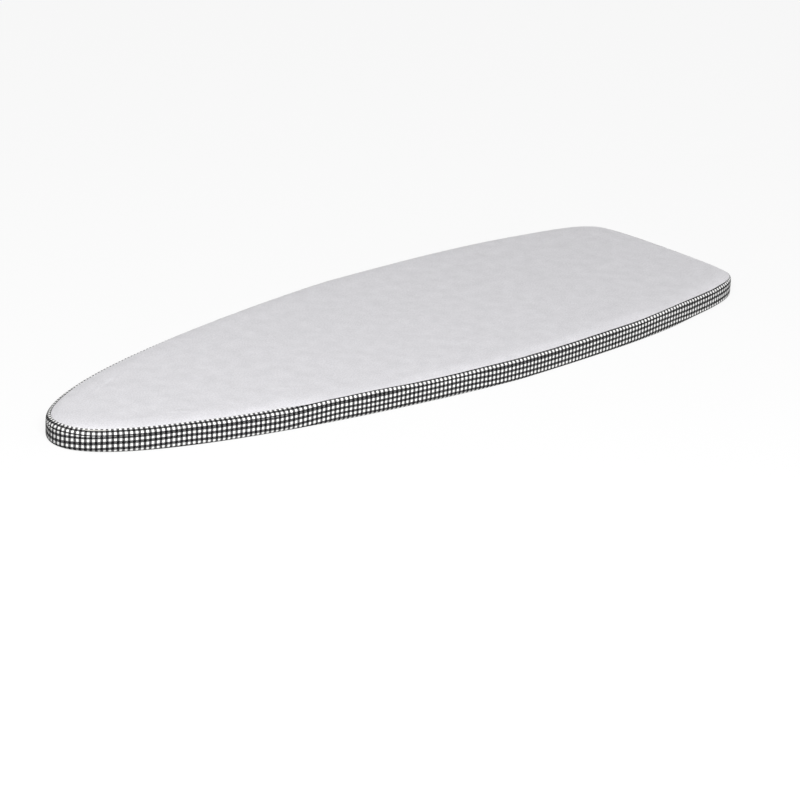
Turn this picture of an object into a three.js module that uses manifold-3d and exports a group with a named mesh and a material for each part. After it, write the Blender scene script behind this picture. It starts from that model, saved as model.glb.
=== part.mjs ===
import * as THREE from 'three';
import { mergeVertices } from 'three/addons/utils/BufferGeometryUtils.js';
import Module from 'manifold-3d';

// A fitted ironing board cover. A padded, metallised ironing face is sewn to a gingham
// band and skirt, which run down the edge of the board and turn under it. The hem holds
// a ring of elastic, and three elastic straps with lever clips pull it tight from below.
// Millimetres. +X runs from the pointed nose to the square tail and +Z is up. The origin
// is the middle of the footprint, on the surface that the turned-under skirt stands on.

// The whole cover, stretched to the board that it fits
const coverLength = 1240;
const coverWidth = 424.4;
const crownHeight = 36.5;

// Fabric and the small gap that separate pieces keep
const clothThickness = 0.8;
const clearance = 0.3;

// Half outline of the board top, from the nose to the tail. Each sweep is two handles and
// an end, as shares of the length from the nose and of the half width.
const noseShares = [0, 0];
const sweepShares = [
  [[0, 0.691], [0.5146, 1], [0.5668, 1]],
  [[0.6652, 1], [0.779, 1], [0.872, 0.9015]],
  [[0.9077, 0.8638], [0.9882, 0.8195], [0.9944, 0.6107]],
  [[1, 0.4], [1, 0.2747], [1, 0]],
];
// How far a straight facet may cut inside the curved outline
const facetDepth = 0.8;
const sweepSamples = 400;

// Edge of the ironing face: the padding rolls off to the seam with the gingham band
const seamHeight = 33.4;
const seamInset = 5.5;
const rollWidth = 30;
const rollShares = [0, 0.08, 0.24, 0.52, 1];
const rollFullness = 2.6;

// Gingham band between the seam and the crease, a puffed quarter round
const creaseHeight = 28.8;
const creaseInset = 0.2;
const bandSteps = 5;

// Padding under the ironing face
const foamThickness = 4;
const feltThickness = 3.5;
const paddingInset = 3.2;

// Skirt: a straight wall, a rounded foot that it stands on, and a flange to the hem
const tuckTurnShare = 0.36;
const tuckSteps = 1;
const creaseDrop = 1.1;
const footRadius = 6;
const footSteps = 3;
const footInset = 14;
const hemInset = 42;
const hemHeight = 4.2;
const hemFoldSteps = 2;

// Elastic ring inside the hem casing
const hemElasticWidth = 8;
const hemElasticThickness = 1.2;
const casingSlack = 1.3;

// Elastic straps across the underside, placed along the length from the nose
const strapShares = [0.3, 0.55, 0.8];
const webbingWidth = 20;
const webbingThickness = 1.3;
const strapOverlap = 14;
const stitchPress = 0.2;

// Lever clips: sheet steel frame, hinged lever, pin and moulded jaw pad
const sheetThickness = 0.8;
const jawReach = 10;
const jawWidth = 18.6;
const bendRadius = 1.6;
const hingeBack = 5.8;
const hingeHeight = 3.1;
const pinRadius = 0.9;
const pinHeadRadius = 1.7;
const pinHeadThickness = 0.7;
const strapSlack = 1;
const earFlare = 1.2;
const slotMargin = 3;
const frameArm = 2.6;
const frameCorner = 2.4;
const strapBar = 3;
const padThickness = 1;
const padRib = 0.5;
const padRibs = 5;
const padHook = 2;
const leverThickness = 1;
const leverTooth = 0.7;
const leverTeeth = 3;
const toothPitch = 1.6;
const tabLength = 5;
const tabDrop = 1.6;
const roundSteps = 6;

const finishes = {
  ironingFace: { color: 0xd4d4d8, roughness: 0.46, metalness: 0.4 },
  gingham: { color: 0x8e8e90, roughness: 0.85, metalness: 0 },
  foam: { color: 0xe9e3cf, roughness: 0.95, metalness: 0 },
  felt: { color: 0xcfcdc8, roughness: 1, metalness: 0 },
  elastic: { color: 0xf0efeb, roughness: 0.8, metalness: 0 },
  webbing: { color: 0xe8e7e2, roughness: 0.8, metalness: 0 },
  plating: { color: 0xbfc1c4, roughness: 0.28, metalness: 1 },
  pad: { color: 0x2c2c2f, roughness: 0.55, metalness: 0 },
};

const wasm = await Module();
wasm.setup();

/** Dense points along one half of the outline, a list for each sweep from nose to tail. */
function sampleSweeps() {
  const place = ([along, across]) => {
    return new THREE.Vector2((along - 1 / 2) * coverLength, across * coverWidth / 2);
  };
  let start = place(noseShares);
  return sweepShares.map(([first, second, end]) => {
    const curve = new THREE.CubicBezierCurve(start, place(first), place(second), place(end));
    start = place(end);
    return curve.getSpacedPoints(sweepSamples);
  });
}

/**
 * Stations along one sweep, both of its ends among them. They stand closer where it bends
 * more, so that no facet cuts in deeper than facetDepth.
 */
function stationsAlong(points) {
  const last = points.length - 1;
  const directions = points.map((point, i) => {
    const before = points[Math.max(i - 1, 0)];
    const after = points[Math.min(i + 1, last)];
    return new THREE.Vector2().subVectors(after, before).normalize();
  });
  const reached = [0];
  for (let i = 1; i <= last; i += 1) {
    const step = points[i].distanceTo(points[i - 1]);
    const turn = Math.abs(directions[i - 1].cross(directions[i]));
    reached.push(reached[i - 1] + Math.sqrt(turn * step / (8 * facetDepth)));
  }
  const count = Math.ceil(reached[last]);

  const along = [];
  let i = 0;
  for (let k = 0; k <= count; k += 1) {
    const goal = reached[last] * k / count;
    while (i < last && reached[i] < goal) i += 1;
    along.push({ point: points[i], normal: new THREE.Vector2(-directions[i].y, directions[i].x) });
  }
  return along;
}

/** Stations round the whole outline, counter-clockwise from the tail. */
function layOutStations() {
  const half = sampleSweeps().flatMap((points, i) => stationsAlong(points).slice(i ? 1 : 0));
  half[0].normal.set(-1, 0);
  half[half.length - 1].normal.set(1, 0);
  const mirrored = half.slice(1, -1).map(({ point, normal }) => ({
    point: new THREE.Vector2(point.x, -point.y),
    normal: new THREE.Vector2(normal.x, -normal.y),
  }));
  return [...half.reverse(), ...mirrored].map(addHem);
}

/** Adds the hem's edge and its outward direction, the outline drawn in by the elastic. */
function addHem({ point, normal }) {
  const alongShare = 1 - 2 * hemInset / coverLength;
  const acrossShare = 1 - 2 * hemInset / coverWidth;
  const hemPoint = new THREE.Vector2(point.x * alongShare, point.y * acrossShare);
  const hemNormal = new THREE.Vector2(normal.x / alongShare, normal.y / acrossShare).normalize();
  return { point, normal, hemPoint, hemNormal };
}

const stations = layOutStations();

/** A point of a section, measured in from the outer outline. */
function fromEdge(inset, height) {
  return ({ point, normal }) => [point.x - normal.x * inset, point.y - normal.y * inset, height];
}

/** A point of a section, measured out from the edge of the hem. */
function fromHem(outset, height) {
  return ({ hemPoint, hemNormal }) => [
    hemPoint.x + hemNormal.x * outset,
    hemPoint.y + hemNormal.y * outset,
    height,
  ];
}

/** Points on an elliptical arc, as [distance, height], from one angle to another. */
function arcPoints(centre, radii, fromAngle, toAngle, steps) {
  const points = [];
  for (let i = 0; i <= steps; i += 1) {
    const angle = fromAngle + (toAngle - fromAngle) * i / steps;
    points.push([centre[0] + radii[0] * Math.cos(angle), centre[1] + radii[1] * Math.sin(angle)]);
  }
  return points;
}

/** Geometry of indexed triangles. */
function indexed(positions, indices) {
  const geometry = new THREE.BufferGeometry();
  geometry.setAttribute('position', new THREE.Float32BufferAttribute(positions, 3));
  geometry.setIndex(indices);
  geometry.computeVertexNormals();
  return geometry;
}

/** Positions of a section at every station, and the walls between the stations. */
function sectionWalls(section, closes) {
  const size = section.length;
  const positions = stations.flatMap((station) => section.flatMap((place) => place(station)));
  const indices = [];
  stations.forEach((_, i) => {
    const next = (i + 1) % stations.length;
    for (let j = 0; j < (closes ? size : size - 1); j += 1) {
      const above = (j + 1) % size;
      const corners = [i * size + j, next * size + j, next * size + above, i * size + above];
      indices.push(corners[0], corners[1], corners[2], corners[0], corners[2], corners[3]);
    }
  });
  return { positions, indices, size };
}

/** A closed section carried once round the outline. It rises on its outer side. */
function ringSolid(section) {
  const { positions, indices } = sectionWalls(section, true);
  return indexed(positions, indices);
}

/**
 * A layer that covers the whole outline. Its section runs from the underside, round the
 * edge to the top, and flat strips across the board close it below and above.
 */
function layerSolid(section) {
  const { positions, indices, size } = sectionWalls(section, false);
  const count = stations.length;
  const closeAt = (level, up) => {
    const corner = (station) => (station % count) * size + level;
    for (let k = 0; k < count / 2; k += 1) {
      const strip = [corner(k), corner(k + 1), corner(count - k - 1), corner(count - k)];
      const halves = [[strip[0], strip[1], strip[2]], [strip[0], strip[2], strip[3]]];
      halves
        .filter((face) => new Set(face).size === face.length)
        .forEach((face) => indices.push(...(up ? face : face.reverse())));
    }
  };
  closeAt(0, false);
  closeAt(size - 1, true);
  return indexed(positions, indices);
}

/** Height of the ironing face over an inset from the outline, where the padding rolls off. */
function faceHeight(rollShare) {
  return crownHeight - (crownHeight - seamHeight) * (1 - rollShare) ** rollFullness;
}

/** The rolled-off edge as [inset, height], from the seam to the flat crown. */
function rollPoints(start, drop) {
  return rollShares.map((share) => [
    start + (seamInset + rollWidth - start) * share,
    faceHeight(share) - drop,
  ]);
}

const panelEdge = seamInset + clearance;
const foamTopDrop = clothThickness + clearance;
const foamUnderside = crownHeight - foamTopDrop - foamThickness;
const feltTop = foamUnderside - clearance;
const feltUnderside = feltTop - feltThickness;

/** The metallised ironing face, an even cloth over the padding. */
function topPanel() {
  const outside = rollPoints(panelEdge, 0);
  const inside = rollPoints(panelEdge, clothThickness).reverse();
  return layerSolid([...inside, ...outside].map(([inset, height]) => fromEdge(inset, height)));
}

/** The foam, rolled off under the face and rounded at its edge. */
function foamLayer() {
  const top = rollPoints(panelEdge, foamTopDrop);
  return layerSolid([
    fromEdge(paddingInset + clearance, foamUnderside),
    fromEdge(paddingInset + clearance, (foamUnderside + top[0][1]) / 2),
    ...top.map(([inset, height]) => fromEdge(inset, height)),
  ]);
}

/** The felt, a flat sheet that lies on the board. */
function feltLayer() {
  return layerSolid([fromEdge(paddingInset, feltUnderside), fromEdge(paddingInset, feltTop)]);
}

const bandCentre = [seamInset, creaseHeight];
const bandRadii = [seamInset - creaseInset, seamHeight - creaseHeight];

/** A quarter-round layer of the band, some depth inside its outer face. */
function bandArc(depth, share, steps) {
  const radii = bandRadii.map((radius) => radius - depth);
  return arcPoints(bandCentre, radii, Math.PI, Math.PI * (1 - share / 2), steps);
}

/** The gingham band, sewn to the face along its top and folded at the crease. */
function edgeBand() {
  const outside = bandArc(0, 1, bandSteps);
  const inside = bandArc(clothThickness, 1, bandSteps).reverse();
  return ringSolid([...outside, ...inside].map(([inset, height]) => fromEdge(inset, height)));
}

const casingDepth = hemElasticThickness + 2 * clearance + 2 * clothThickness;
const casingWidth = hemElasticWidth + casingDepth / 2 + casingSlack;
const casingTop = hemHeight + casingDepth;

/** One face of the fold at the hem's edge, as [outset, height]. */
function hemFold(radius) {
  const centre = [casingDepth / 2, hemHeight + casingDepth / 2];
  return arcPoints(centre, [radius, radius], Math.PI / 2, Math.PI * 3 / 2, hemFoldSteps);
}

/**
 * The gingham skirt. Its top edge is tucked behind the band, the wall runs down the edge
 * of the board, and the flange turns under to a hem that folds back over the elastic.
 */
function skirt() {
  const tuckDepth = clothThickness + clearance;
  const footCentre = [footRadius, footRadius];
  const foot = (radius) => {
    return arcPoints(footCentre, [radius, radius], Math.PI * 3 / 2, Math.PI, footSteps)
      .map(([inset, height]) => fromEdge(inset, height));
  };
  const tuck = (depth) => {
    return bandArc(depth, tuckTurnShare, tuckSteps).map(([inset, height]) => fromEdge(inset, height));
  };
  const flangeTop = hemHeight + clothThickness;
  const outside = [
    fromEdge(footInset, 0),
    ...foot(footRadius),
    fromEdge(0, creaseHeight - creaseDrop),
    ...tuck(tuckDepth),
  ];
  const inside = [
    ...tuck(tuckDepth + clothThickness).reverse(),
    fromEdge(clothThickness, creaseHeight - creaseDrop),
    ...foot(footRadius - clothThickness).reverse(),
    fromEdge(footInset, clothThickness),
  ];
  const casing = [
    fromHem(casingWidth, flangeTop),
    ...hemFold(casingDepth / 2 - clothThickness)
      .reverse()
      .map(([outset, height]) => fromHem(outset, height)),
    fromHem(casingWidth - clothThickness, casingTop - clothThickness),
    fromHem(casingWidth - clothThickness, flangeTop + clearance),
    fromHem(casingWidth, flangeTop + clearance),
    fromHem(casingWidth, casingTop),
    ...hemFold(casingDepth / 2).map(([outset, height]) => fromHem(outset, height)),
    fromHem(casingWidth, hemHeight),
  ];
  return ringSolid([...outside, ...inside, ...casing]);
}

/** The ring of elastic that lies in the casing. */
function hemElastic() {
  const start = casingDepth / 2;
  const low = hemHeight + clothThickness + clearance;
  const high = low + hemElasticThickness;
  return ringSolid([
    fromHem(start + hemElasticWidth, low),
    fromHem(start + hemElasticWidth, high),
    fromHem(start, high),
    fromHem(start, low),
  ]);
}

/** Distance from the middle of the cover to the hem's edge, at a place along the length. */
function hemReach(along) {
  for (let i = 1; i < stations.length; i += 1) {
    const ahead = stations[i - 1].hemPoint;
    const behind = stations[i].hemPoint;
    if (behind.x <= along && along <= ahead.x) {
      const share = (along - behind.x) / (ahead.x - behind.x);
      return behind.y + (ahead.y - behind.y) * share;
    }
  }
  return 0;
}

/** A shape drawn in X and Z, carried evenly to both sides across Y. */
function extrudeAcross(shape, width) {
  const geometry = new THREE.ExtrudeGeometry(shape, {
    depth: width, bevelEnabled: false, curveSegments: roundSteps,
  });
  const turn = new THREE.Matrix4().makeBasis(
    new THREE.Vector3(1, 0, 0), new THREE.Vector3(0, 0, 1), new THREE.Vector3(0, -1, 0));
  return geometry.applyMatrix4(turn).translate(0, width / 2, 0);
}

/** A shape drawn in Y and Z, carried along X from one place to another. */
function extrudeAlong(shape, from, to) {
  const geometry = new THREE.ExtrudeGeometry(shape, {
    depth: to - from, bevelEnabled: false, curveSegments: roundSteps,
  });
  const turn = new THREE.Matrix4().makeBasis(
    new THREE.Vector3(0, 1, 0), new THREE.Vector3(0, 0, 1), new THREE.Vector3(1, 0, 0));
  return geometry.applyMatrix4(turn).translate(from, 0, 0);
}

/** A shape drawn in X and Y, carried up from one height to another. */
function extrudeUp(shape, from, to) {
  const geometry = new THREE.ExtrudeGeometry(shape, {
    depth: to - from, bevelEnabled: false, curveSegments: roundSteps,
  });
  return geometry.translate(0, 0, from);
}

/** A solid for joining and cutting, from a closed geometry. */
function solid(geometry) {
  const bare = geometry.index ? geometry.clone() : geometry;
  bare.deleteAttribute('normal');
  bare.deleteAttribute('uv');
  const merged = mergeVertices(bare);
  return new wasm.Manifold(new wasm.Mesh({
    numProp: 3,
    vertProperties: new Float32Array(merged.attributes.position.array),
    triVerts: new Uint32Array(merged.index.array),
  }));
}

/** Geometry of a finished solid. */
function geometryOf(manifold) {
  const { vertProperties, triVerts } = manifold.getMesh();
  return indexed(Array.from(vertProperties), Array.from(triVerts));
}

// Heights and places in a clip. X runs inwards from the hem's edge and Z is the height.
const padUnderside = casingTop + clearance;
const padTop = padUnderside + padThickness;
const plateUnderside = padTop + clearance;
const plateTop = plateUnderside + sheetThickness;
const jawTop = hemHeight - clearance;
const barrelRadius = pinRadius + clearance + sheetThickness;
const earRadius = barrelRadius;
const earTopHalf = earRadius + earFlare;
const frameHalfWidth = jawWidth / 2 + clearance + sheetThickness;
const slotStart = hingeBack + earTopHalf + slotMargin;
const slotEnd = slotStart + webbingThickness + 2 * clearance + strapSlack;
const frameEnd = slotEnd + strapBar;
const slotHalfWidth = webbingWidth / 2 + sheetThickness;
const loopHalfWidth = slotHalfWidth + frameArm;
const barMiddle = (plateUnderside + plateTop) / 2;
const loopInside = sheetThickness / 2 + clearance;
const loopOutside = loopInside + webbingThickness;
const loopCentre = slotEnd + clearance / 2;

/** Plan of the frame's plate, with the slot for the webbing. */
function framePlan() {
  const widening = slotStart - frameArm;
  const shape = new THREE.Shape();
  shape.moveTo(widening - frameArm, -jawWidth / 2);
  shape.lineTo(widening, -loopHalfWidth);
  shape.absarc(frameEnd - frameCorner, frameCorner - loopHalfWidth, frameCorner, -Math.PI / 2, 0);
  shape.absarc(frameEnd - frameCorner, loopHalfWidth - frameCorner, frameCorner, 0, Math.PI / 2);
  shape.lineTo(widening, loopHalfWidth);
  shape.lineTo(widening - frameArm, jawWidth / 2);
  shape.absarc(-jawReach + frameCorner, jawWidth / 2 - frameCorner, frameCorner, Math.PI / 2, Math.PI);
  shape.absarc(-jawReach + frameCorner, frameCorner - jawWidth / 2, frameCorner, Math.PI, Math.PI * 3 / 2);

  const slot = new THREE.Path();
  slot.moveTo(slotStart, -slotHalfWidth);
  slot.lineTo(slotStart, slotHalfWidth);
  slot.lineTo(slotEnd, slotHalfWidth);
  slot.lineTo(slotEnd, -slotHalfWidth);
  shape.holes.push(slot);
  return shape;
}

/** Section of the folded channel that the frame's two ears are cut from. */
function earChannel() {
  const bottom = hingeHeight - earRadius;
  const inner = frameHalfWidth - sheetThickness;
  const innerBend = bendRadius - sheetThickness;
  const shape = new THREE.Shape();
  shape.moveTo(inner, bottom);
  shape.lineTo(frameHalfWidth, bottom);
  shape.absarc(frameHalfWidth - bendRadius, plateTop - bendRadius, bendRadius, 0, Math.PI / 2);
  shape.absarc(bendRadius - frameHalfWidth, plateTop - bendRadius, bendRadius, Math.PI / 2, Math.PI);
  shape.lineTo(-frameHalfWidth, bottom);
  shape.lineTo(-inner, bottom);
  shape.absarc(bendRadius - frameHalfWidth, plateTop - bendRadius, innerBend, Math.PI, Math.PI / 2, true);
  shape.absarc(frameHalfWidth - bendRadius, plateTop - bendRadius, innerBend, Math.PI / 2, 0, true);
  return shape;
}

/** Side view of an ear, tapered down to a round end about the pin. */
function earSide() {
  const shape = new THREE.Shape();
  shape.absarc(hingeBack, hingeHeight, earRadius, Math.PI, Math.PI * 2);
  shape.lineTo(hingeBack + earTopHalf, plateTop);
  shape.lineTo(hingeBack - earTopHalf, plateTop);
  return shape;
}

/** Round bar across the clip at the hinge. */
function hingeBar(radius) {
  const shape = new THREE.Shape();
  shape.absarc(hingeBack, hingeHeight, radius, 0, Math.PI * 2);
  return extrudeAcross(shape, 2 * loopHalfWidth);
}

/** The clip's frame, folded from one sheet: plate, strap slot and two ears. */
function clipFrame() {
  const plate = solid(extrudeUp(framePlan(), plateUnderside, plateTop));
  const channel = solid(extrudeAlong(earChannel(), hingeBack - earTopHalf, hingeBack + earTopHalf));
  const ears = channel.intersect(solid(extrudeAcross(earSide(), 2 * loopHalfWidth)));
  return geometryOf(plate.add(ears).subtract(solid(hingeBar(pinRadius + clearance))));
}

/** Plan of the lever: as wide as the jaw, with a rounded thumb tab. */
function leverPlan() {
  const tip = -jawReach - clearance;
  const back = hingeBack + barrelRadius + clearance;
  const halfWidth = jawWidth / 2;
  const round = tabLength;
  const shape = new THREE.Shape();
  shape.moveTo(back, -halfWidth);
  shape.lineTo(back, halfWidth);
  shape.absellipse(tip + round, 0, round, halfWidth, Math.PI / 2, Math.PI * 3 / 2);
  return shape;
}

/** Side view of the lever: the barrel, the toothed jaw and the thumb tab. */
function leverSide() {
  const root = jawTop - leverTooth;
  const underside = root - leverThickness;
  const teethStart = -clearance;
  const teethEnd = teethStart - leverTeeth * toothPitch;
  const tip = -jawReach - clearance;
  const shape = new THREE.Shape();
  shape.absarc(hingeBack, hingeHeight, barrelRadius, -Math.PI / 2, Math.PI);
  shape.lineTo(teethStart, root);
  for (let i = 0; i < leverTeeth; i += 1) {
    const start = teethStart - i * toothPitch;
    shape.lineTo(start - toothPitch / 2, jawTop);
    shape.lineTo(start - toothPitch, root);
  }
  shape.lineTo(tip, root - tabDrop + leverThickness / 2);
  shape.lineTo(tip, underside - tabDrop + leverThickness);
  shape.lineTo(teethEnd, underside);
  shape.lineTo(teethStart, underside);
  return shape;
}

/** The lever, turning on the pin between the ears. Its bore clears the pin. */
function clipLever() {
  const side = solid(extrudeAcross(leverSide(), jawWidth));
  const plan = solid(extrudeUp(leverPlan(), 0, plateTop));
  return geometryOf(side.intersect(plan).subtract(solid(hingeBar(pinRadius + clearance))));
}

/** The headed pin through both ears and the lever. */
function clipPin() {
  const seat = frameHalfWidth + clearance;
  const end = seat + pinHeadThickness;
  const dome = pinHeadRadius - pinHeadThickness / 2;
  const profile = [
    [0, -end], [dome, -end], [pinHeadRadius, -seat - pinHeadThickness / 2], [pinHeadRadius, -seat],
    [pinRadius, -seat], [pinRadius, seat],
    [pinHeadRadius, seat], [pinHeadRadius, seat + pinHeadThickness / 2], [dome, end], [0, end],
  ].map(([radius, along]) => new THREE.Vector2(radius, along));
  return new THREE.LatheGeometry(profile, 2 * roundSteps).translate(hingeBack, 0, hingeHeight);
}

/** The ribbed jaw pad, hooked over the front of the frame's plate. */
function jawPad() {
  const front = -jawReach - clearance;
  const lip = front - sheetThickness;
  const back = -clearance - padThickness;
  const ribPitch = (back - front) / padRibs;
  const hookTop = plateTop + clearance;
  const shape = new THREE.Shape();
  shape.moveTo(back, padTop);
  shape.lineTo(front, padTop);
  shape.lineTo(front, hookTop);
  shape.lineTo(front + padHook, hookTop);
  shape.lineTo(front + padHook, hookTop + sheetThickness);
  shape.lineTo(lip, hookTop + sheetThickness);
  shape.lineTo(lip, padUnderside + padRib);
  for (let i = 0; i < padRibs; i += 1) {
    const start = front + i * ribPitch;
    shape.lineTo(start, padUnderside + padRib);
    shape.lineTo(start + ribPitch / 2, padUnderside);
  }
  shape.lineTo(back, padUnderside + padRib);
  return extrudeAcross(shape, jawWidth - 2 * frameCorner);
}

/**
 * An elastic strap, seen along X. Each end passes through a frame's slot, goes round the
 * bar and is sewn back under itself.
 */
function elasticStrap(reach) {
  const runUnderside = barMiddle - loopInside - stitchPress;
  const runTop = runUnderside + webbingThickness;
  const loopBack = frameEnd + clearance;
  const joinStart = loopBack + loopOutside + loopInside;
  const sewnEnd = joinStart + strapOverlap;
  const shape = new THREE.Shape();
  const holes = [new THREE.Path(), new THREE.Path()];
  const side = (sign, inwards) => sign * (reach - inwards);

  shape.moveTo(side(1, sewnEnd), runUnderside);
  shape.lineTo(side(1, sewnEnd), barMiddle - loopOutside);
  shape.absarc(side(1, loopCentre), barMiddle, loopOutside, -Math.PI / 2, Math.PI / 2);
  shape.lineTo(side(1, loopBack), barMiddle + loopOutside);
  shape.lineTo(side(1, joinStart), runTop);
  shape.lineTo(side(-1, joinStart), runTop);
  shape.lineTo(side(-1, loopBack), barMiddle + loopOutside);
  shape.absarc(side(-1, loopCentre), barMiddle, loopOutside, Math.PI / 2, Math.PI * 3 / 2);
  shape.lineTo(side(-1, sewnEnd), barMiddle - loopOutside);
  shape.lineTo(side(-1, sewnEnd), runUnderside);

  [1, -1].forEach((sign, i) => {
    const centre = side(sign, loopCentre);
    holes[i].moveTo(side(sign, loopBack), barMiddle + loopInside);
    holes[i].lineTo(side(sign, joinStart), barMiddle - loopInside + stitchPress);
    holes[i].absarc(centre, barMiddle, loopInside, -Math.PI / 2, Math.PI / 2, sign < 0);
  });
  shape.holes.push(...holes);
  return extrudeAlong(shape, -webbingWidth / 2, webbingWidth / 2);
}

/** A named mesh in one of the finishes. */
function piece(name, geometry, finish) {
  const mesh = new THREE.Mesh(geometry, new THREE.MeshStandardMaterial(finish));
  mesh.name = name;
  return mesh;
}

const clipShapes = {
  frame: clipFrame(),
  lever: clipLever(),
  pin: clipPin(),
  pad: jawPad(),
};

/** One clip, with X running inwards from the hem's edge. */
function clip(place) {
  const group = new THREE.Group();
  group.add(piece(`clip_frame_${place}`, clipShapes.frame, finishes.plating));
  group.add(piece(`clip_lever_${place}`, clipShapes.lever, finishes.plating));
  group.add(piece(`clip_pin_${place}`, clipShapes.pin, finishes.plating));
  group.add(piece(`jaw_pad_${place}`, clipShapes.pad, finishes.pad));
  return group;
}

const cover = new THREE.Group();
cover.add(piece('top_panel', topPanel(), finishes.ironingFace));
cover.add(piece('foam_layer', foamLayer(), finishes.foam));
cover.add(piece('felt_layer', feltLayer(), finishes.felt));
cover.add(piece('edge_binding', edgeBand(), finishes.gingham));
cover.add(piece('gingham_skirt', skirt(), finishes.gingham));
cover.add(piece('hem_elastic', hemElastic(), finishes.elastic));

['nose', 'middle', 'tail'].forEach((place, i) => {
  const along = (strapShares[i] - 1 / 2) * coverLength;
  const reach = hemReach(along);
  const strap = piece(`elastic_strap_${place}`, elasticStrap(reach), finishes.webbing);
  strap.position.x = along;
  cover.add(strap);

  const left = clip(`${place}_left`);
  left.position.set(along, reach, 0);
  left.rotation.z = -Math.PI / 2;
  const right = clip(`${place}_right`);
  right.position.set(along, -reach, 0);
  right.rotation.z = Math.PI / 2;
  cover.add(left, right);
});

export default cover;
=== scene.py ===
"""A fitted ironing board cover, dressed for a product picture.

The metallised face, the gingham band and skirt, the padding, the elastic and the webbing
are modelled here as cloth. The lever clips keep their hard pieces and get their plating.
Metres, with +X from the pointed nose to the square tail and +Z up out of the face.
"""

from __future__ import annotations

import logging
import math
from collections.abc import Callable, Sequence
from dataclasses import dataclass, field
from enum import Enum
from itertools import accumulate
from typing import Any

import bmesh
import bpy
from mathutils import Matrix, Vector, geometry, noise


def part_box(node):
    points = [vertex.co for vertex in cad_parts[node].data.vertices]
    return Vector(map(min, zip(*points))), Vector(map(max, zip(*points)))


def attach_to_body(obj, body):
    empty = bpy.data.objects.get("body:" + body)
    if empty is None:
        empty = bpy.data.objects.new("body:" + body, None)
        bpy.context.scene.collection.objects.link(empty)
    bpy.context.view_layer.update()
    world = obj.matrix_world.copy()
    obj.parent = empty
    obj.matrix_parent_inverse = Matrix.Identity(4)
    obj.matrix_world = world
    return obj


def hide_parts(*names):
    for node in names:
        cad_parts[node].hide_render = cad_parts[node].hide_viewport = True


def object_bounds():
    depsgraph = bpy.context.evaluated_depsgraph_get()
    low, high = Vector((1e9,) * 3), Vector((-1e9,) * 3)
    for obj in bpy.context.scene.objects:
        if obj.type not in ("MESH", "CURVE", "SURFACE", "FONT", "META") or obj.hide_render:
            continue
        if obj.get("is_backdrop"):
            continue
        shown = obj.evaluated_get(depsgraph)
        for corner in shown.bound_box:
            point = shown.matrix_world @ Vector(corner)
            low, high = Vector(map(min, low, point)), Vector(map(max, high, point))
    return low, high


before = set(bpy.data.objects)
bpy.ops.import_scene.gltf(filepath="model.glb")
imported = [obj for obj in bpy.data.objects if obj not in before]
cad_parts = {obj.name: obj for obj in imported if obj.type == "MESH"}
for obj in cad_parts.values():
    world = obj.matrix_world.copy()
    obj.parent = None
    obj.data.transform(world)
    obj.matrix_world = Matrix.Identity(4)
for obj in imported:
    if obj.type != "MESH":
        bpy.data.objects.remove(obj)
cad_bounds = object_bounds()

log = logging.getLogger("cover")

MM = 0.001
ROOT = "cover"
CLOTH_MAP = "Cloth"
STRIP_MAP = "OFBake"
WHITE = (1.0, 1.0, 1.0, 1.0)
NOISE_RANGE = (0.3, 0.7)
MERGE = 0.001 * MM

# Lines drawn in from the outline keep square to it up to this inset
SQUARE_INSET = 8.0 * MM

# How far the seam and the crease of the dressed cover lie below those of the solids
SEAM_DROP = 0.1 * MM
CREASE_DROP = 0.7 * MM

# The inset at which the face's flat area is worked out. The band and the skirt are as long as the outline.
FACE_INSET = 4.0 * MM


class Place(Enum):
    """Where a strap crosses the underside."""

    NOSE = "nose"
    MIDDLE = "middle"
    TAIL = "tail"


class Side(Enum):
    """The two long edges. The near one shows in the picture."""

    LEFT = 1
    RIGHT = -1


class Hold(Enum):
    """How a sheet of cloth is held."""

    STRETCHED = "stretched"
    GATHERED = "gathered"
    LAID = "laid"


class Seed(Enum):
    """The noise that each kind of unevenness follows."""

    WALL = 2.0
    PUCKERS = 3.0
    BAND = 5.0
    FELT = 7.0
    GATHERS = 11.0
    FINE_GATHERS = 23.0
    SHIRRING = 31.0


# Node trees


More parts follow.
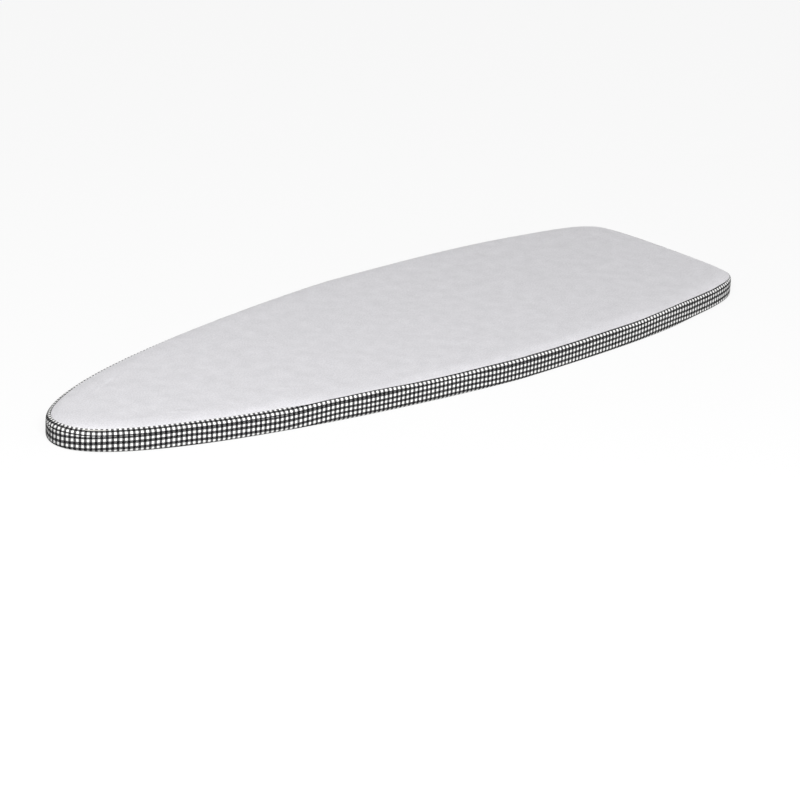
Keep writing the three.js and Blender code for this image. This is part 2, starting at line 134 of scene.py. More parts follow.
class Graph:
    """Adds nodes to a node tree and joins their sockets."""

    def __init__(self, tree: bpy.types.NodeTree) -> None:
        """Keeps the tree that the nodes go into."""
        self.tree = tree

    def feed(self, socket: bpy.types.NodeSocket, value: Any) -> None:
        """Links a socket to another, or sets its own value.

        Args:
            socket: the input.
            value: an output socket, or a plain value.
        """
        if isinstance(value, bpy.types.NodeSocket):
            self.tree.links.new(value, socket)
        else:
            socket.default_value = value

    def node(self, kind: str, feeds: dict[Any, Any] | None = None, **settings: Any) -> bpy.types.Node:
        """Adds one node.

        Args:
            kind: the node's type name.
            feeds: values or sockets for its inputs, by name or number.
            settings: the node's own properties.

        Returns:
            The new node.
        """
        made = self.tree.nodes.new(kind)
        for name, value in settings.items():
            setattr(made, name, value)
        for key, value in (feeds or {}).items():
            self.feed(made.inputs[key], value)
        return made

    def math(self, operation: str, *values: Any) -> bpy.types.NodeSocket:
        """Adds a maths node and returns its output."""
        return self.node("ShaderNodeMath", dict(enumerate(values)), operation=operation).outputs[0]

    def lerp(self, share: Any, first: Any, second: Any) -> bpy.types.NodeSocket:
        """Mixes two numbers and returns the output."""
        return self.node("ShaderNodeMix", {0: share, 2: first, 3: second}).outputs[0]

    def blend(self, share: Any, first: Any, second: Any) -> bpy.types.NodeSocket:
        """Mixes two colours and returns the output."""
        feeds = {0: share, 6: first, 7: second}
        return self.node("ShaderNodeMix", feeds, data_type="RGBA").outputs[2]

    def tint(self, colour: Any, tone: Any) -> bpy.types.NodeSocket:
        """Multiplies a colour by a number that changes over the surface."""
        return self.node("ShaderNodeVectorMath", {0: colour, "Scale": tone}, operation="SCALE").outputs[0]

    def split(self, vector: Any) -> Sequence[bpy.types.NodeSocket]:
        """Splits a vector and returns its three outputs."""
        return self.node("ShaderNodeSeparateXYZ", {0: vector}).outputs

    def stretched(self, vector: Any, scale: tuple[float, float, float]) -> bpy.types.NodeSocket:
        """Scales a vector by its own amount on each axis."""
        return self.node("ShaderNodeMapping", {"Vector": vector, "Scale": scale}).outputs[0]

    def noise(self, vector: Any, scale: Any, detail: float = 2.0) -> bpy.types.NodeSocket:
        """Adds a noise texture and returns its value, about a half on average."""
        feeds = {"Vector": vector, "Scale": scale, "Detail": detail}
        return self.node("ShaderNodeTexNoise", feeds).outputs["Fac"]

    def ramp(self, value: Any, *ends: float) -> bpy.types.NodeSocket:
        """Maps a value from two ends to two others, and holds it beyond them."""
        return self.node("ShaderNodeMapRange", dict(enumerate((value, *ends)))).outputs[0]


def shared_group(name: str, inputs: dict[str, str], outputs: Sequence[str]) -> tuple[Graph, Any, Any]:
    """Starts a node group for an effect that several materials use.

    Args:
        name: the group's name.
        inputs: its inputs, each with the kind of its socket.
        outputs: its outputs, all plain values.

    Returns:
        The graph, the input sockets and the output sockets.
    """
    tree = bpy.data.node_groups.new(name, "ShaderNodeTree")
    for key, kind in inputs.items():
        tree.interface.new_socket(key, in_out="INPUT", socket_type=kind)
    for key in outputs:
        tree.interface.new_socket(key, in_out="OUTPUT", socket_type="NodeSocketFloat")
    graph = Graph(tree)
    return graph, graph.node("NodeGroupInput").outputs, graph.node("NodeGroupOutput").inputs


def plain_weave() -> bpy.types.NodeTree:
    """Plain weave: which yarn lies on top, how high it stands and the gaps between yarns.

    Returns:
        A group that takes a vector counted in yarns.
    """
    graph, inputs, outputs = shared_group(
        "Plain weave", {"Yarns": "NodeSocketVector"}, ("Warp over", "Height", "Gap"))
    round_side, bend, gap_heights = 3.4, 1.6, (0.35, 0.1)
    across, along, _ = graph.split(inputs["Yarns"])
    crossing = graph.math("ADD", graph.math("FLOOR", across), graph.math("FLOOR", along))
    over = graph.math("FLOORED_MODULO", crossing, 2.0)

    def swell(distance: Any, fullness: float) -> bpy.types.NodeSocket:
        """A rounded rise in the middle of each yarn."""
        off = graph.math("ABSOLUTE", graph.math("SUBTRACT", graph.math("FRACT", distance), 0.5))
        return graph.math("SUBTRACT", 1.0, graph.math("MULTIPLY", graph.math("POWER", off, 2.0), fullness))

    warp = graph.math("MULTIPLY", swell(across, round_side), swell(along, bend))
    weft = graph.math("MULTIPLY", swell(along, round_side), swell(across, bend))
    height = graph.lerp(over, weft, warp)
    graph.feed(outputs["Warp over"], over)
    graph.feed(outputs["Height"], height)
    # The gap mask, where the finishes paint shade between the yarns.
    graph.feed(outputs["Gap"], graph.ramp(height, *gap_heights, 0.0, 1.0))
    return graph.tree


def mottle() -> bpy.types.NodeTree:
    """Slow and fine changes of tone, as cloth and coatings have.

    Returns:
        A group whose tone is about one, and whose strength says how far it strays.
    """
    graph, inputs, outputs = shared_group(
        "Mottle", {"Vector": "NodeSocketVector", "Patches": "NodeSocketFloat", "Strength": "NodeSocketFloat"},
        ("Tone",))
    fineness, fine_share, average = 7.0, 0.6, 0.8
    slow = graph.noise(inputs["Vector"], inputs["Patches"], detail=3.0)
    fine = graph.noise(inputs["Vector"], graph.math("MULTIPLY", inputs["Patches"], fineness))
    sway = graph.math("ADD", slow, graph.math("MULTIPLY", fine, fine_share))
    sway = graph.math("MULTIPLY", graph.math("SUBTRACT", sway, average), inputs["Strength"])
    graph.feed(outputs["Tone"], graph.math("ADD", 1.0, sway))
    return graph.tree


def fibres() -> bpy.types.NodeTree:
    """Tangled fibres: short hairs that lie every way over each other.

    Returns:
        A group that gives the fibres' height.
    """
    graph, inputs, outputs = shared_group(
        "Fibres", {"Vector": "NodeSocketVector", "Scale": "NodeSocketFloat"}, ("Height",))
    turns_and_lengths, hair_range = ((0.0, 9.0), (1.1, 7.0), (2.2, 8.0)), (0.5, 0.72)
    height: Any = 0.0
    for turn, stretch in turns_and_lengths:
        turned = graph.node("ShaderNodeMapping", {
            "Vector": inputs["Vector"], "Rotation": (0.0, 0.0, turn),
            "Scale": (1.0, 1.0 / stretch, 1.0 / stretch)}, vector_type="TEXTURE")
        hair = graph.node("ShaderNodeTexNoise", {
            "Vector": turned.outputs[0], "Scale": inputs["Scale"], "Detail": 2.0, "Distortion": 0.6})
        height = graph.math("MAXIMUM", height, graph.ramp(hair.outputs["Fac"], *hair_range, 0.0, 1.0))
    graph.feed(outputs["Height"], height)
    return graph.tree


@dataclass(frozen=True)
class Groups:
    """The effects that more than one finish uses."""

    weave: bpy.types.NodeTree = field(default_factory=plain_weave)
    mottle: bpy.types.NodeTree = field(default_factory=mottle)
    fibres: bpy.types.NodeTree = field(default_factory=fibres)


groups = Groups()


class Material(Graph):
    """A material with one principled shader."""

    def __init__(self, name: str, **constants: Any) -> None:
        """Makes the material and its nodes.

        Args:
            name: the material's name.
            constants: values that are alike all over, by socket name with _ for a space.
        """
        self.material = bpy.data.materials.new(name)
        self.material.use_nodes = True
        super().__init__(self.material.node_tree)
        self.shader = self.tree.nodes["Principled BSDF"]
        for key, value in constants.items():
            self.shader.inputs[key.replace("_", " ")].default_value = value

    def place(self) -> bpy.types.NodeSocket:
        """Returns the object coordinates, in metres."""
        return self.node("ShaderNodeTexCoord").outputs["Object"]

    def cloth(self) -> bpy.types.NodeSocket:
        """Returns the coordinates along and across the cloth."""
        return self.node("ShaderNodeUVMap", uv_map=CLOTH_MAP).outputs[0]

    def drive(self, name: str, value: Any) -> None:
        """Feeds one input of the shader."""
        self.feed(self.shader.inputs[name], value)

    def emboss(self, height: Any, depth: float, strength: float) -> None:
        """Raises the surface by a height.

        Args:
            height: the output that gives the height.
            depth: how far the surface stands up where the height is one.
            strength: how much of it is used.
        """
        feeds = {"Height": height, "Distance": depth, "Strength": strength}
        self.drive("Normal", self.node("ShaderNodeBump", feeds).outputs[0])

    def grouped(self, group: bpy.types.NodeTree, feeds: dict[str, Any]) -> Any:
        """Places a shared group with its own values.

        Args:
            group: the group's node tree.
            feeds: values or sockets for its inputs.

        Returns:
            The group's outputs.
        """
        return self.node("ShaderNodeGroup", feeds, node_tree=group).outputs

    def mottled(self, vector: Any, patches: float, strength: float) -> bpy.types.NodeSocket:
        """Returns a tone about one that strays over the surface."""
        feeds = {"Vector": vector, "Patches": patches, "Strength": strength}
        return self.grouped(groups.mottle, feeds)["Tone"]

    def shaded(self, mask: Any, shade: float) -> bpy.types.NodeSocket:
        """Returns a tone that is one, and falls by the shade where a mask is one, which paints shade onto the
        colour.
        """
        return self.math("SUBTRACT", 1.0, self.math("MULTIPLY", mask, shade))


# Finishes


@dataclass(frozen=True)
class GinghamFinish:
    """Yarn-dyed gingham: white where white crosses white, black where black crosses black."""

    white: tuple[float, float, float, float] = (0.9, 0.9, 0.89, 1.0)
    black: tuple[float, float, float, float] = (0.004, 0.004, 0.005, 1.0)
    yarns_per_repeat: float = 20.0
    white_share: float = 0.484
    mixed_shade: float = 0.22
    # Painted shade in the gaps between the yarns.
    gap_shade: float = 0.3
    patches: float = 0.35
    tone: float = 0.1
    weave_depth: float = 0.07 * MM

    def build(self) -> bpy.types.Material:
        """Makes the material, which reads the cloth's own map, counted in repeats.

        Returns:
            The material.
        """
        paint = Material("Gingham", Roughness=0.85, Specular_IOR_Level=0.12)
        cloth = paint.cloth()
        along, down, _ = paint.split(cloth)
        repeat = self.yarns_per_repeat
        woven = paint.grouped(groups.weave, {"Yarns": paint.stretched(cloth, (repeat, repeat, 1.0))})
        white_warp = paint.math("LESS_THAN", paint.math("PINGPONG", along, 0.5), self.white_share / 2)
        white_weft = paint.math("LESS_THAN", paint.math("PINGPONG", down, 0.5), self.white_share / 2)
        upper = paint.lerp(woven["Warp over"], white_weft, white_warp)
        lower = paint.lerp(woven["Warp over"], white_warp, white_weft)
        shade = paint.math("MULTIPLY", upper, paint.lerp(lower, self.mixed_shade, 1.0))
        # Painted shade: the colour darkens in the gaps between the yarns, times a random mottle.
        tone = paint.math("MULTIPLY", paint.mottled(cloth, self.patches, self.tone),
                          paint.shaded(woven["Gap"], self.gap_shade))
        paint.drive("Base Color", paint.tint(paint.blend(shade, self.black, self.white), tone))
        paint.emboss(woven["Height"], self.weave_depth, strength=0.7)
        return paint.material


@dataclass(frozen=True)
class MetallisedFinish:
    """Cotton with an aluminium coating: pale silver, softly shining over a fine weave."""

    silver: tuple[float, float, float] = (0.69, 0.682, 0.708)
    yarn: float = 0.46 * MM
    # Painted shade in the gaps between the yarns.
    gap_shade: float = 0.16
    patches: float = 45.0
    tone: float = 0.22
    specks: float = 460.0
    grain: float = 0.09
    sheen_patches: float = 120.0
    roughness: tuple[float, float] = (0.4, 0.52)
    weave_depth: float = 0.05 * MM
    puckers: float = 55.0
    pucker_depth: float = 0.25 * MM

    def build(self) -> bpy.types.Material:
        """Makes the material, which reads the place on the flat face.

        Returns:
            The material.
        """
        paint = Material("Metallised cotton", Metallic=0.3, Sheen_Weight=0.05)
        place = paint.place()
        count = 1.0 / self.yarn
        woven = paint.grouped(groups.weave, {"Yarns": paint.stretched(place, (count, count, 0.0))})
        flat = paint.stretched(place, (1.0, 1.0, 0.0))
        # Painted shade: the silver darkens in the gaps between the yarns, times a random mottle.
        tone = paint.math("MULTIPLY", paint.mottled(flat, self.patches, self.tone),
                          paint.shaded(woven["Gap"], self.gap_shade))
        specks = paint.noise(flat, self.specks, detail=1.0)
        specks = paint.ramp(specks, *NOISE_RANGE, 1.0 - self.grain, 1.0 + self.grain)
        paint.drive("Base Color", paint.tint(self.silver, paint.math("MULTIPLY", tone, specks)))
        sheen = paint.noise(flat, self.sheen_patches)
        paint.drive("Roughness", paint.ramp(sheen, *NOISE_RANGE, *self.roughness))
        puckers = paint.noise(flat, self.puckers, detail=3.0)
        puckers = paint.math("MULTIPLY", puckers, self.pucker_depth / self.weave_depth)
        paint.emboss(paint.math("ADD", woven["Height"], puckers), self.weave_depth, strength=0.6)
        return paint.material


@dataclass(frozen=True)
class FeltFinish:
    """Needled felt pressed from mixed grey and white fibres."""

    pale: tuple[float, float, float, float] = (0.66, 0.64, 0.6, 1.0)
    dark: tuple[float, float, float, float] = (0.3, 0.29, 0.28, 1.0)
    dark_share: float = 0.8
    fibre_scale: float = 260.0
    patches: float = 30.0
    tone: float = 0.35
    depth: float = 0.35 * MM

    def build(self) -> bpy.types.Material:
        """Makes the material.

        Returns:
            The material.
        """
        paint = Material("Needled felt", Roughness=0.95, Sheen_Weight=0.3)
        place = paint.place()
        hairs = paint.grouped(groups.fibres, {"Vector": place, "Scale": self.fibre_scale})
        colour = paint.blend(paint.math("MULTIPLY", hairs["Height"], self.dark_share), self.pale, self.dark)
        paint.drive("Base Color", paint.tint(colour, paint.mottled(place, self.patches, self.tone)))
        paint.emboss(hairs["Height"], self.depth, strength=0.8)
        return paint.material


@dataclass(frozen=True)
class FoamFinish:
    """Open-cell foam, cream, with fine pores that are painted darker as shade."""

    cream: tuple[float, float, float] = (0.82, 0.76, 0.6)
    cell: float = 1.1 * MM
    pore: tuple[float, float] = (0.15, 0.6)
    # How dark the painted shade in the pores is.
    pore_shade: float = 0.55
    patches: float = 20.0
    tone: float = 0.12
    depth: float = 0.4 * MM

    def build(self) -> bpy.types.Material:
        """Makes the material.

        Returns:
            The material.
        """
        paint = Material("Open cell foam", Roughness=0.95, Subsurface_Weight=0.1)
        place = paint.place()
        cells = paint.node("ShaderNodeTexVoronoi", {"Vector": place, "Scale": 1.0 / self.cell})
        # Painted shade in the pores: darker towards the middle of each cell, also used as the bump.
        wall = paint.ramp(cells.outputs["Distance"], *self.pore, self.pore_shade, 1.0)
        tone = paint.math("MULTIPLY", wall, paint.mottled(place, self.patches, self.tone))
        paint.drive("Base Color", paint.tint(self.cream, tone))
        paint.emboss(wall, self.depth, strength=0.8)
        return paint.material


@dataclass(frozen=True)
class ElasticFinish:
    """Woven elastic: cotton ribs over rubber strands, crossed by fine yarns."""

    name: str
    colour: tuple[float, float, float] = (0.84, 0.83, 0.8)
    yarn: float = 0.55 * MM
    # Painted shade in the gaps between the yarns.
    gap_shade: float = 0.45
    patches: float = 120.0
    tone: float = 0.16
    depth: float = 0.12 * MM

    def build(self) -> bpy.types.Material:
        """Makes the material, which reads the band's own map, in metres across and along.

        Returns:
            The material.
        """
        paint = Material(self.name, Roughness=0.8, Sheen_Weight=0.15)
        cloth = paint.cloth()
        count = 1.0 / self.yarn
        woven = paint.grouped(groups.weave, {"Yarns": paint.stretched(cloth, (count, 2.0 * count, 1.0))})
        # Painted shade: the colour darkens in the gaps between the yarns, times a random mottle.
        tone = paint.math("MULTIPLY", paint.mottled(cloth, self.patches, self.tone),
                          paint.shaded(woven["Gap"], self.gap_shade))
        paint.drive("Base Color", paint.tint(self.colour, tone))
        paint.emboss(woven["Height"], self.depth, strength=0.8)
        return paint.material


@dataclass(frozen=True)
class PlatedFinish:
    """Nickel plate on pressed steel, bright, with fine rubbing marks."""

    name: str
    metal: tuple[float, float, float] = (0.74, 0.73, 0.7)
    low_rough: float = 0.2
    high_rough: float = 0.42
    patches: float = 420.0
    tone: float = 0.2
    rubbing: tuple[float, float, float] = (300.0, 2600.0, 900.0)
    marks: tuple[float, float] = (0.35, 0.7)
    depth: float = 0.02 * MM

    def build(self) -> bpy.types.Material:
        """Makes the material.

        Returns:
            The material.
        """
        paint = Material(self.name, Metallic=1.0)
        place = paint.place()
        paint.drive("Base Color", paint.tint(self.metal, paint.mottled(place, self.patches, self.tone)))
        rubbed = paint.noise(paint.stretched(place, self.rubbing), scale=1.0, detail=4.0)
        paint.drive("Roughness", paint.ramp(rubbed, *self.marks, self.low_rough, self.high_rough))
        paint.emboss(rubbed, self.depth, strength=0.5)
        return paint.material


@dataclass(frozen=True)
class MouldedFinish:
    """Charcoal moulded rubbery plastic with a fine spark grain."""

    shade: tuple[float, float, float] = (0.028, 0.028, 0.031)
    patches: float = 300.0
    tone: float = 0.5
    grain: float = 5200.0
    roughness: tuple[float, float] = (0.42, 0.6)
    depth: float = 0.04 * MM

    def build(self) -> bpy.types.Material:
        """Makes the material.

        Returns:
            The material.
        """
        paint = Material("Moulded jaw", Roughness=0.5)
        place = paint.place()
        grain = paint.noise(place, self.grain)
        paint.drive("Base Color", paint.tint(self.shade, paint.mottled(place, self.patches, self.tone)))
        paint.drive("Roughness", paint.ramp(grain, *NOISE_RANGE, *self.roughness))
        paint.emboss(grain, self.depth, strength=0.7)
        return paint.material


@dataclass(frozen=True)
class ThreadFinish:
    """Twisted sewing thread, with painted shade between its plies and painted light on them."""

    name: str
    colour: tuple[float, float, float]
    twist: float = 11000.0
    ply_shading: tuple[float, float] = (0.75, 1.05)
    depth: float = 0.03 * MM

    def build(self) -> bpy.types.Material:
        """Makes the material.

        Returns:
            The material.
        """
        paint = Material(self.name, Roughness=0.65, Sheen_Weight=0.2)
        x, y, z = paint.split(paint.place())
        slant = paint.math("ADD", paint.math("ADD", x, y), z)
        # Painted shade in the grooves between the plies, and painted light a little over white on their
        # crests.
        ply = paint.math("SINE", paint.math("MULTIPLY", slant, self.twist))
        paint.drive("Base Color", paint.tint(self.colour, paint.ramp(ply, -1.0, 1.0, *self.ply_shading)))
        paint.emboss(ply, self.depth, strength=0.8)
        return paint.material


@dataclass(frozen=True)
class FloorFinish:
    """A pale, matt floor that can be looked through from below."""

    pale: tuple[float, float, float, float] = (0.93, 0.93, 0.93, 1.0)
    glare: float = 0.88

    def build(self) -> bpy.types.Material:
        """Makes the material.

        Returns:
            The material.
        """
        paint = Material("Pale floor", Roughness=0.9, Specular_IOR_Level=0.1)
        paint.drive("Base Color", self.pale)
        seen = paint.node("ShaderNodeLightPath").outputs["Is Camera Ray"]
        plain = paint.node("ShaderNodeEmission", {"Color": WHITE}).outputs[0]
        lit = paint.node("ShaderNodeMixShader", {
            0: paint.math("MULTIPLY", seen, self.glare), 1: paint.shader.outputs[0], 2: plain}).outputs[0]
        clear = paint.node("ShaderNodeBsdfTransparent").outputs[0]
        back = paint.node("ShaderNodeNewGeometry").outputs["Backfacing"]
        through = paint.node("ShaderNodeMixShader", {0: back, 1: lit, 2: clear})
        paint.feed(paint.tree.nodes["Material Output"].inputs["Surface"], through.outputs[0])
        return paint.material


# Plan of the cover


@dataclass(frozen=True)
class Station:
    """One place on the outline, with the direction out of the cover there.

    The arc is the distance round the outline from the middle of the tail, and whole its full length.
    The eased direction turns slowly past a corner, so that lines far inside don't cross.
    """

    index: int
    arc: float
    whole: float
    point: Vector
    normal: Vector
    eased_normal: Vector
    hem_point: Vector
    hem_normal: Vector

    @property
    def from_nose(self) -> float:
        """The distance along the outline from the tip of the nose."""
        return abs(self.arc - self.whole / 2)

    @property
    def side(self) -> Side:
        """The long side that the station is on."""
        return Side.LEFT if self.arc < self.whole / 2 else Side.RIGHT

    def from_edge(self, inset: float, height: float) -> Vector:
        """Places a point measured in from the outline.

        Args:
            inset: the distance from the outline.
            height: the height over the foot of the skirt.

        Returns:
            The point.
        """
        square = min(inset, SQUARE_INSET)
        place = self.point - self.normal * square - self.eased_normal * (inset - square)
        return place.to_3d() + Vector((0.0, 0.0, height))

    def from_hem(self, outset: float, height: float) -> Vector:
        """Returns a point measured out from the edge of the hem."""
        return (self.hem_point + self.hem_normal * outset).to_3d() + Vector((0.0, 0.0, height))

    def ripple(self, wave: float, seed: Seed, change: float = 0.0) -> float:
        """Follows smooth noise round the outline, where it closes on itself.

        Args:
            wave: about the length of a wave.
            seed: picks the noise.
            change: how far the waves differ from those of the plain seed, nearly the same if small.

        Returns:
            The noise, between about -1 and 1.
        """
        radius = self.whole / (2.0 * math.pi * wave)
        angle = 2.0 * math.pi * self.arc / self.whole
        return noise.noise(Vector((radius * math.cos(angle), radius * math.sin(angle), seed.value + change)))


@dataclass(frozen=True)
class Outline:
    """Plan of the cover: sweeps along one side, from the nose to the tail, mirrored."""

    length: float
    width: float
    hem_inset: float = 42.0 * MM
    corner_ease: float = 60.0 * MM
    sweep_shares: tuple[tuple[tuple[float, float], ...], ...] = (
        ((0.0, 0.0), (0.0, 0.691), (0.5146, 1.0), (0.5668, 1.0)),
        ((0.5668, 1.0), (0.6652, 1.0), (0.779, 1.0), (0.872, 0.9015)),
        ((0.872, 0.9015), (0.9077, 0.8638), (0.9882, 0.8195), (0.9944, 0.6107)),
        ((0.9944, 0.6107), (1.0, 0.4), (1.0, 0.2747), (1.0, 0.0)),
    )
    steps_per_sweep: int = 600
    area_steps: int = 800

    def side_line(self) -> list[Vector]:
        """Traces one side, from the nose to the middle of the tail.

        Returns:
            Close points along the side.
        """
        line: list[Vector] = []
        for shares in self.sweep_shares:
            handles = [Vector(((along - 0.5) * self.length, across * self.width / 2))
                       for along, across in shares]
            line += geometry.interpolate_bezier(*handles, self.steps_per_sweep)[bool(line):]
        return line

    def stations(self, count: int) -> list[Station]:
        """Lays out stations at even steps round the whole outline.

        Args:
            count: how many, an even number.

        Returns:
            The stations, from the middle of the tail up the left side, round the nose and back.
        """
        line = self.side_line()
        reached = [0.0]
        for before, after in zip(line, line[1:]):
            reached.append(reached[-1] + (after - before).length)
        half = reached[-1]
        side: list[Vector] = []
        low = 0
        for step in range(count // 2 + 1):
            goal = half * step / (count // 2)
            while low < len(line) - 2 and reached[low + 1] < goal:
                low += 1
            share = (goal - reached[low]) / (reached[low + 1] - reached[low])
            side.append(line[low].lerp(line[low + 1], min(share, 1.0)))
        points = side[::-1] + [Vector((p.x, -p.y)) for p in side[1:-1]]
        shares = Vector((1.0 - 2.0 * self.hem_inset / self.length, 1.0 - 2.0 * self.hem_inset / self.width))
        runs = [after - before for before, after in zip(points[-1:] + points[:-1], points[1:] + points[:1])]
        normals = [Vector((run.y, -run.x)).normalized() for run in runs]
        reach = round(self.corner_ease * count / (2.0 * half))
        made = []
        for i, (point, normal) in enumerate(zip(points, normals)):
            around = [normals[(i + k) % count] for k in range(-reach, reach + 1)]
            hem_normal = Vector((normal.x / shares.x, normal.y / shares.y)).normalized()
            made.append(Station(i, 2.0 * half * i / count, 2.0 * half, point, normal,
                                sum(around, Vector((0.0, 0.0))).normalized(), point * shares, hem_normal))
        return made

    def area(self, inset: float) -> float:
        """Returns the flat area that the outline holds, drawn in by an inset."""
        ring = [station.from_edge(inset, 0.0) for station in self.stations(self.area_steps)]
        return abs(sum(a.x * b.y - b.x * a.y for a, b in zip(ring, ring[1:] + ring[:1]))) / 2


def eased(share: float) -> float:
    """Returns a share from 0 to 1, eased at both ends and held beyond them."""
    share = min(1.0, max(0.0, share))
    return share * share * (3.0 - 2.0 * share)


@dataclass(frozen=True)
class Drift:
    """A slow rise and fall along a side, given in millimetres from the nose."""

    places: tuple[tuple[float, float], ...]

    def at(self, station: Station) -> float:
        """Finds the value at a station, eased between the places.

        Args:
            station: the place on the outline.

        Returns:
            The value, in millimetres.
        """
        here = station.from_nose / MM
        for (start, low), (end, high) in zip(self.places, self.places[1:]):
            if here <= end:
                return low + (high - low) * eased((here - start) / (end - start))
        return self.places[-1][1]


@dataclass(frozen=True)
class Ring:
    """One line round the cover: where it runs, and where it lies across the cloth.

    The share is of what changes from station to station, and the reach is added to it.
    """

    place: Callable[[Station], Vector]
    share: float
    reach: float


@dataclass(frozen=True)
class Plan:
    """What the layers of the cover share: its outline, its heights and its rolled edge.

    The lifts say how far the edge strays from its mean height, and the seams how far over the
    edge the seam lies, both in millimetres.
    """

    outline: Outline
    crown: float
    seam: float
    crease: float
    round_centre: float = 5.5 * MM
    round_reach: float = 5.3 * MM
    roll_width: float = 30.0 * MM
    roll_fullness: float = 2.6
    sway: float = 0.3 * MM
    sway_wave: float = 85.0 * MM
    near_lift: Drift = Drift((
        (0, -2.0), (60, -3.5), (110, -2.5), (200, -1.5), (270, -2.4), (340, -2.4), (420, 1.5), (490, 2.1),
        (570, 0.1), (610, -0.3), (680, 0.3), (760, 0.1), (830, -0.8), (940, -0.3), (1005, -1.0), (1060, 0.7),
        (1110, 1.3), (1160, -0.3), (1215, -1.1), (1430, -0.4)))
    far_lift: Drift = Drift(((0, -2.0), (90, -1.8), (240, -0.6), (1430, -0.4)))
    near_seam: Drift = Drift((
        (0, 12.0), (330, 11.8), (400, 7.4), (520, 7.1), (570, 8.1), (1000, 8.0), (1050, 7.0), (1110, 7.0),
        (1150, 7.6), (1225, 7.5), (1300, 4.8), (1400, 5.0), (1442, 5.6)))
    far_seam: Drift = Drift((
        (0, 12.0), (45, 9.5), (120, 9.2), (180, 7.8), (340, 6.9), (420, 4.8), (1300, 4.8), (1350, 6.2),
        (1410, 6.2), (1442, 5.6)))

    @property
    def round_height(self) -> float:
        """The height of the rounded edge over the crease."""
        return self.seam - self.crease

    @property
    def round_radius(self) -> float:
        """The mean radius of the rounded edge."""
        return (self.round_height + self.round_reach) / 2

    def lift(self, station: Station) -> float:
        """Returns how far the band rises over its usual place, or falls below it."""
        return (self.near_lift if station.side is Side.RIGHT else self.far_lift).at(station) * MM

    def seam_reach(self, station: Station) -> float:
        """Returns how far over the edge the seam lies, measured from the crease."""
        return (self.near_seam if station.side is Side.RIGHT else self.far_seam).at(station) * MM

    def over_edge(self, station: Station, reach: float, depth: float = 0.0) -> tuple[float, float]:
        """Follows the surface over the edge.

        Args:
            station: the place on the outline.
            reach: the distance over the rounded edge, and on over the face, from the crease.
            depth: how far inside the surface the point lies.

        Returns:
            The inset and the height of the point.
        """
        angle = reach / self.round_radius
        if angle < math.pi / 2:
            inset = self.round_centre - (self.round_reach - depth) * math.cos(angle)
            return inset, self.crease + self.lift(station) + (self.round_height - depth) * math.sin(angle)
        inset = self.round_centre + self.round_radius * (angle - math.pi / 2)
        return inset, self.face_height(station, inset) - depth

    def face_height(self, station: Station, inset: float) -> float:
        """Returns the height of the face, which rolls off towards the rounded edge."""
        left = max(0.0, 1.0 - (inset - self.round_centre) / self.roll_width)
        return self.crown - (self.crown - self.seam - self.lift(station)) * left ** self.roll_fullness

    def uneven(self, point: Vector) -> float:
        """Returns the slow unevenness of the padded face at a point."""
        return self.sway * noise.noise(Vector((point.x, point.y, 0.0)) / self.sway_wave)


# Meshes


def finished(bm: bmesh.types.BMesh, name: str) -> bpy.types.Object:
    """Makes an object of a finished mesh, at the origin.

    Args:
        bm: the mesh, freed here.
        name: the piece's name.

    Returns:
        The new object, linked to the scene.
    """
    for face in bm.faces:
        face.smooth = True
    mesh = bpy.data.meshes.new(name)
    bm.to_mesh(mesh)
    bm.free()
    made = bpy.data.objects.new(name, mesh)
    bpy.context.scene.collection.objects.link(made)
    return made


def attach(piece: bpy.types.Object, finish: bpy.types.Material, slot: str, *nodes: str) -> None:
    """Dresses a piece of the cover and ties it to the frame.

    Args:
        piece: the piece.
        finish: its material.
        slot: a name for the material slot, not used.
        nodes: the solids that it stands for.
    """
    piece.data.materials.append(finish)
    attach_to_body(piece, ROOT)
    if nodes:
        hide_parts(*nodes)


def thicken(piece: bpy.types.Object, thickness: float) -> None:
    """Gives a cloth its thickness, on the inner side of its surface.

    Args:
        piece: the cloth.
        thickness: how thick it is.
    """
    skin = piece.modifiers.new("Thickness", "SOLIDIFY")
    skin.thickness = thickness
    skin.offset = -1.0
    skin.use_even_offset = True


